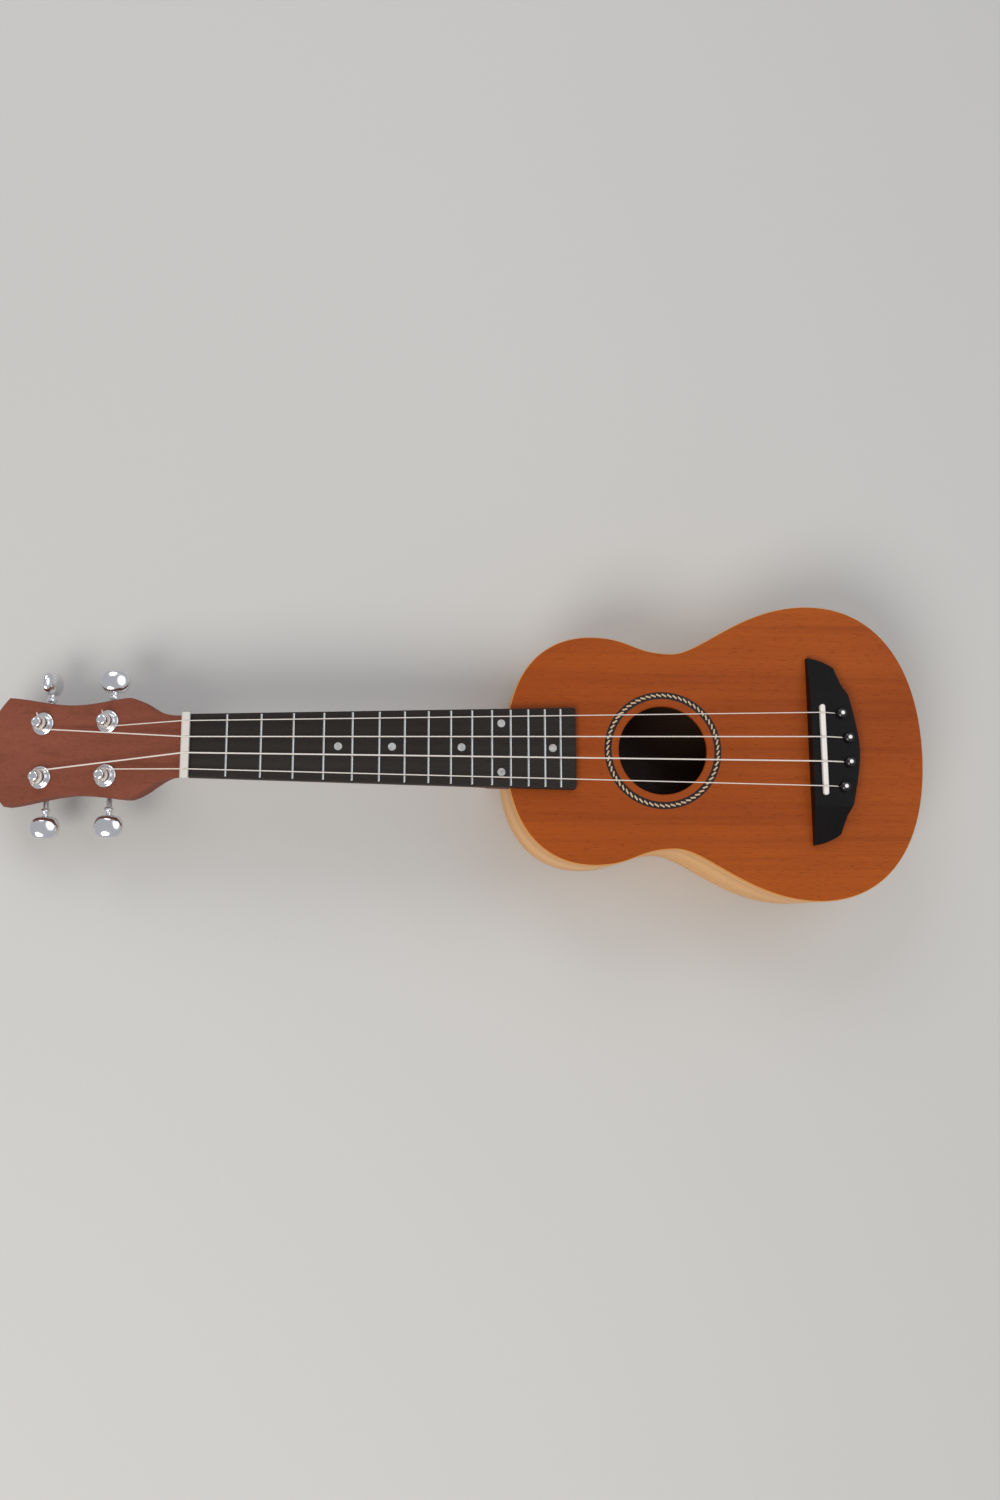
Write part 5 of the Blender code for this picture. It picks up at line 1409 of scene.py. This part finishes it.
# ---- stage
def area_light(name, place, target, size, power, tone=(1, 1, 1)):
    data = bpy.data.lights.new(name, "AREA")
    data.shape, data.size, data.energy, data.color = "DISK", size, power, tone
    light = bpy.data.objects.new(name, data)
    bpy.context.scene.collection.objects.link(light)
    light.location = place
    light.rotation_euler = (Vector(target) - Vector(place)).to_track_quat("-Z", "Y").to_euler()


def make_stage(_):
    clear_selection()
    bpy.ops.mesh.primitive_grid_add(x_subdivisions=24, y_subdivisions=24, size=40)
    floor = named("studio_floor")
    floor.data.materials.append(finish("floor"))
    scene = bpy.context.scene
    scene.view_settings.view_transform = "Standard"
    world = scene.world or bpy.data.worlds.new("studio_air")
    scene.world = world
    world.use_nodes = True
    air = world.node_tree.nodes["Background"]
    air.inputs["Color"].default_value = (0.93, 0.95, 1.0, 1)
    air.inputs["Strength"].default_value = 0.5
    area_light("key_light", (-0.75, -0.95, 1.35), (0, 0, 0.03), 0.9, 15.5, (1.0, 0.96, 0.90))
    area_light("fill_light", (0.9, 0.5, 1.6), (0, 0, 0.03), 1.6, 6.3, (0.92, 0.96, 1.0))
    area_light("head_light", (-0.5, 1.1, 1.1), (-0.3, 0, 0.03), 0.8, 4.5)

    data = bpy.data.cameras.new("studio_camera")
    data.lens, data.sensor_width, data.sensor_fit = 26.849, 36, "AUTO"
    camera = bpy.data.objects.new("studio_camera", data)
    scene.collection.objects.link(camera)
    facing = Euler((-0.15363935, 0.06934988, -0.00787085), "XYZ").to_matrix().transposed()
    camera.matrix_world = Matrix.Translation((-0.1643440, -0.0948173, 0.6706652)) @ facing.to_4x4()
    scene.camera = camera


# ---- operators
def piece_operator(key, label, text, work):
    """An operator that makes one group of pieces, and stops with an error if it can't."""

    def execute(self, context):
        try:
            work(context.scene.ukulele_sizes)
        finally:
            clear_selection()
        return {"FINISHED"}

    members = {
        "bl_idname": f"ukulele.{key}",
        "bl_label": label,
        "bl_options": {"REGISTER", "UNDO"},
        "__doc__": text,
        "execute": execute,
    }
    return type(f"UKULELE_OT_{key}", (bpy.types.Operator,), members)


STEPS = (
    (
        "soundboard",
        "Soundboard and Rosette",
        "Saw the soundboard and inlay its rosette",
        make_soundboard,
    ),
    ("back", "Back", "Saw the back", make_back),
    ("sides", "Sides", "Bend the two sides", make_sides),
    ("neck", "Neck", "Carve the neck, heel and headstock", make_neck),
    (
        "fingerboard",
        "Fingerboard",
        "Make the fingerboard, its frets and its markers",
        make_fingerboard,
    ),
    ("nut", "Nut", "File the nut and its slots", make_nut),
    ("bridge", "Bridge", "Shape the bridge", make_bridge),
    ("saddle", "Saddle", "Round the saddle", make_saddle),
    ("pins", "Bridge Pins", "Turn the four bridge pins and their dots", make_pins),
    ("strings", "Strings", "Run the four strings", make_strings),
    ("windings", "Windings", "Wind the strings on their posts", make_windings),
    ("posts", "Tuner Posts", "Turn the four string posts", make_posts),
    ("bushings", "Tuner Bushings", "Turn the four bushings and washers", make_bushings),
    ("cases", "Tuner Cases", "Press the four gear cases", make_cases),
    ("screws", "Tuner Screws", "Turn the four fixing screws", make_screws),
    ("buttons", "Tuner Buttons", "Shape the four buttons", make_buttons),
    ("inside", "Inside", "Finish the blocks, linings, braces and gears", finish_inside),
    ("stage", "Stage", "Set the floor, the lights and the camera", make_stage),
)
OPERATORS = tuple(piece_operator(*step) for step in STEPS)


class UKULELE_PT_panel(bpy.types.Panel):
    """Lists the pieces in the order that they are made"""

    bl_label = "Ukulele"
    bl_idname = "UKULELE_PT_panel"
    bl_space_type = "VIEW_3D"
    bl_region_type = "UI"
    bl_category = "Ukulele"

    def draw(self, context):
        layout = self.layout
        for operator in OPERATORS:
            layout.operator(operator.bl_idname)
        for settings in (context.scene.ukulele_sizes, context.scene.ukulele_colours):
            box = layout.box()
            for key in settings.__annotations__:
                box.prop(settings, key)


CLASSES = (UkuleleSizes, UkuleleColours, *OPERATORS, UKULELE_PT_panel)


def register():
    for made in CLASSES:
        bpy.utils.register_class(made)
    bpy.types.Scene.ukulele_sizes = PointerProperty(type=UkuleleSizes)
    bpy.types.Scene.ukulele_colours = PointerProperty(type=UkuleleColours)


def unregister():
    del bpy.types.Scene.ukulele_colours, bpy.types.Scene.ukulele_sizes
    for made in reversed(CLASSES):
        bpy.utils.unregister_class(made)


def main():
    register()
    for key, *_ in STEPS:
        getattr(bpy.ops.ukulele, key)()


if __name__ == "__main__":
    main()
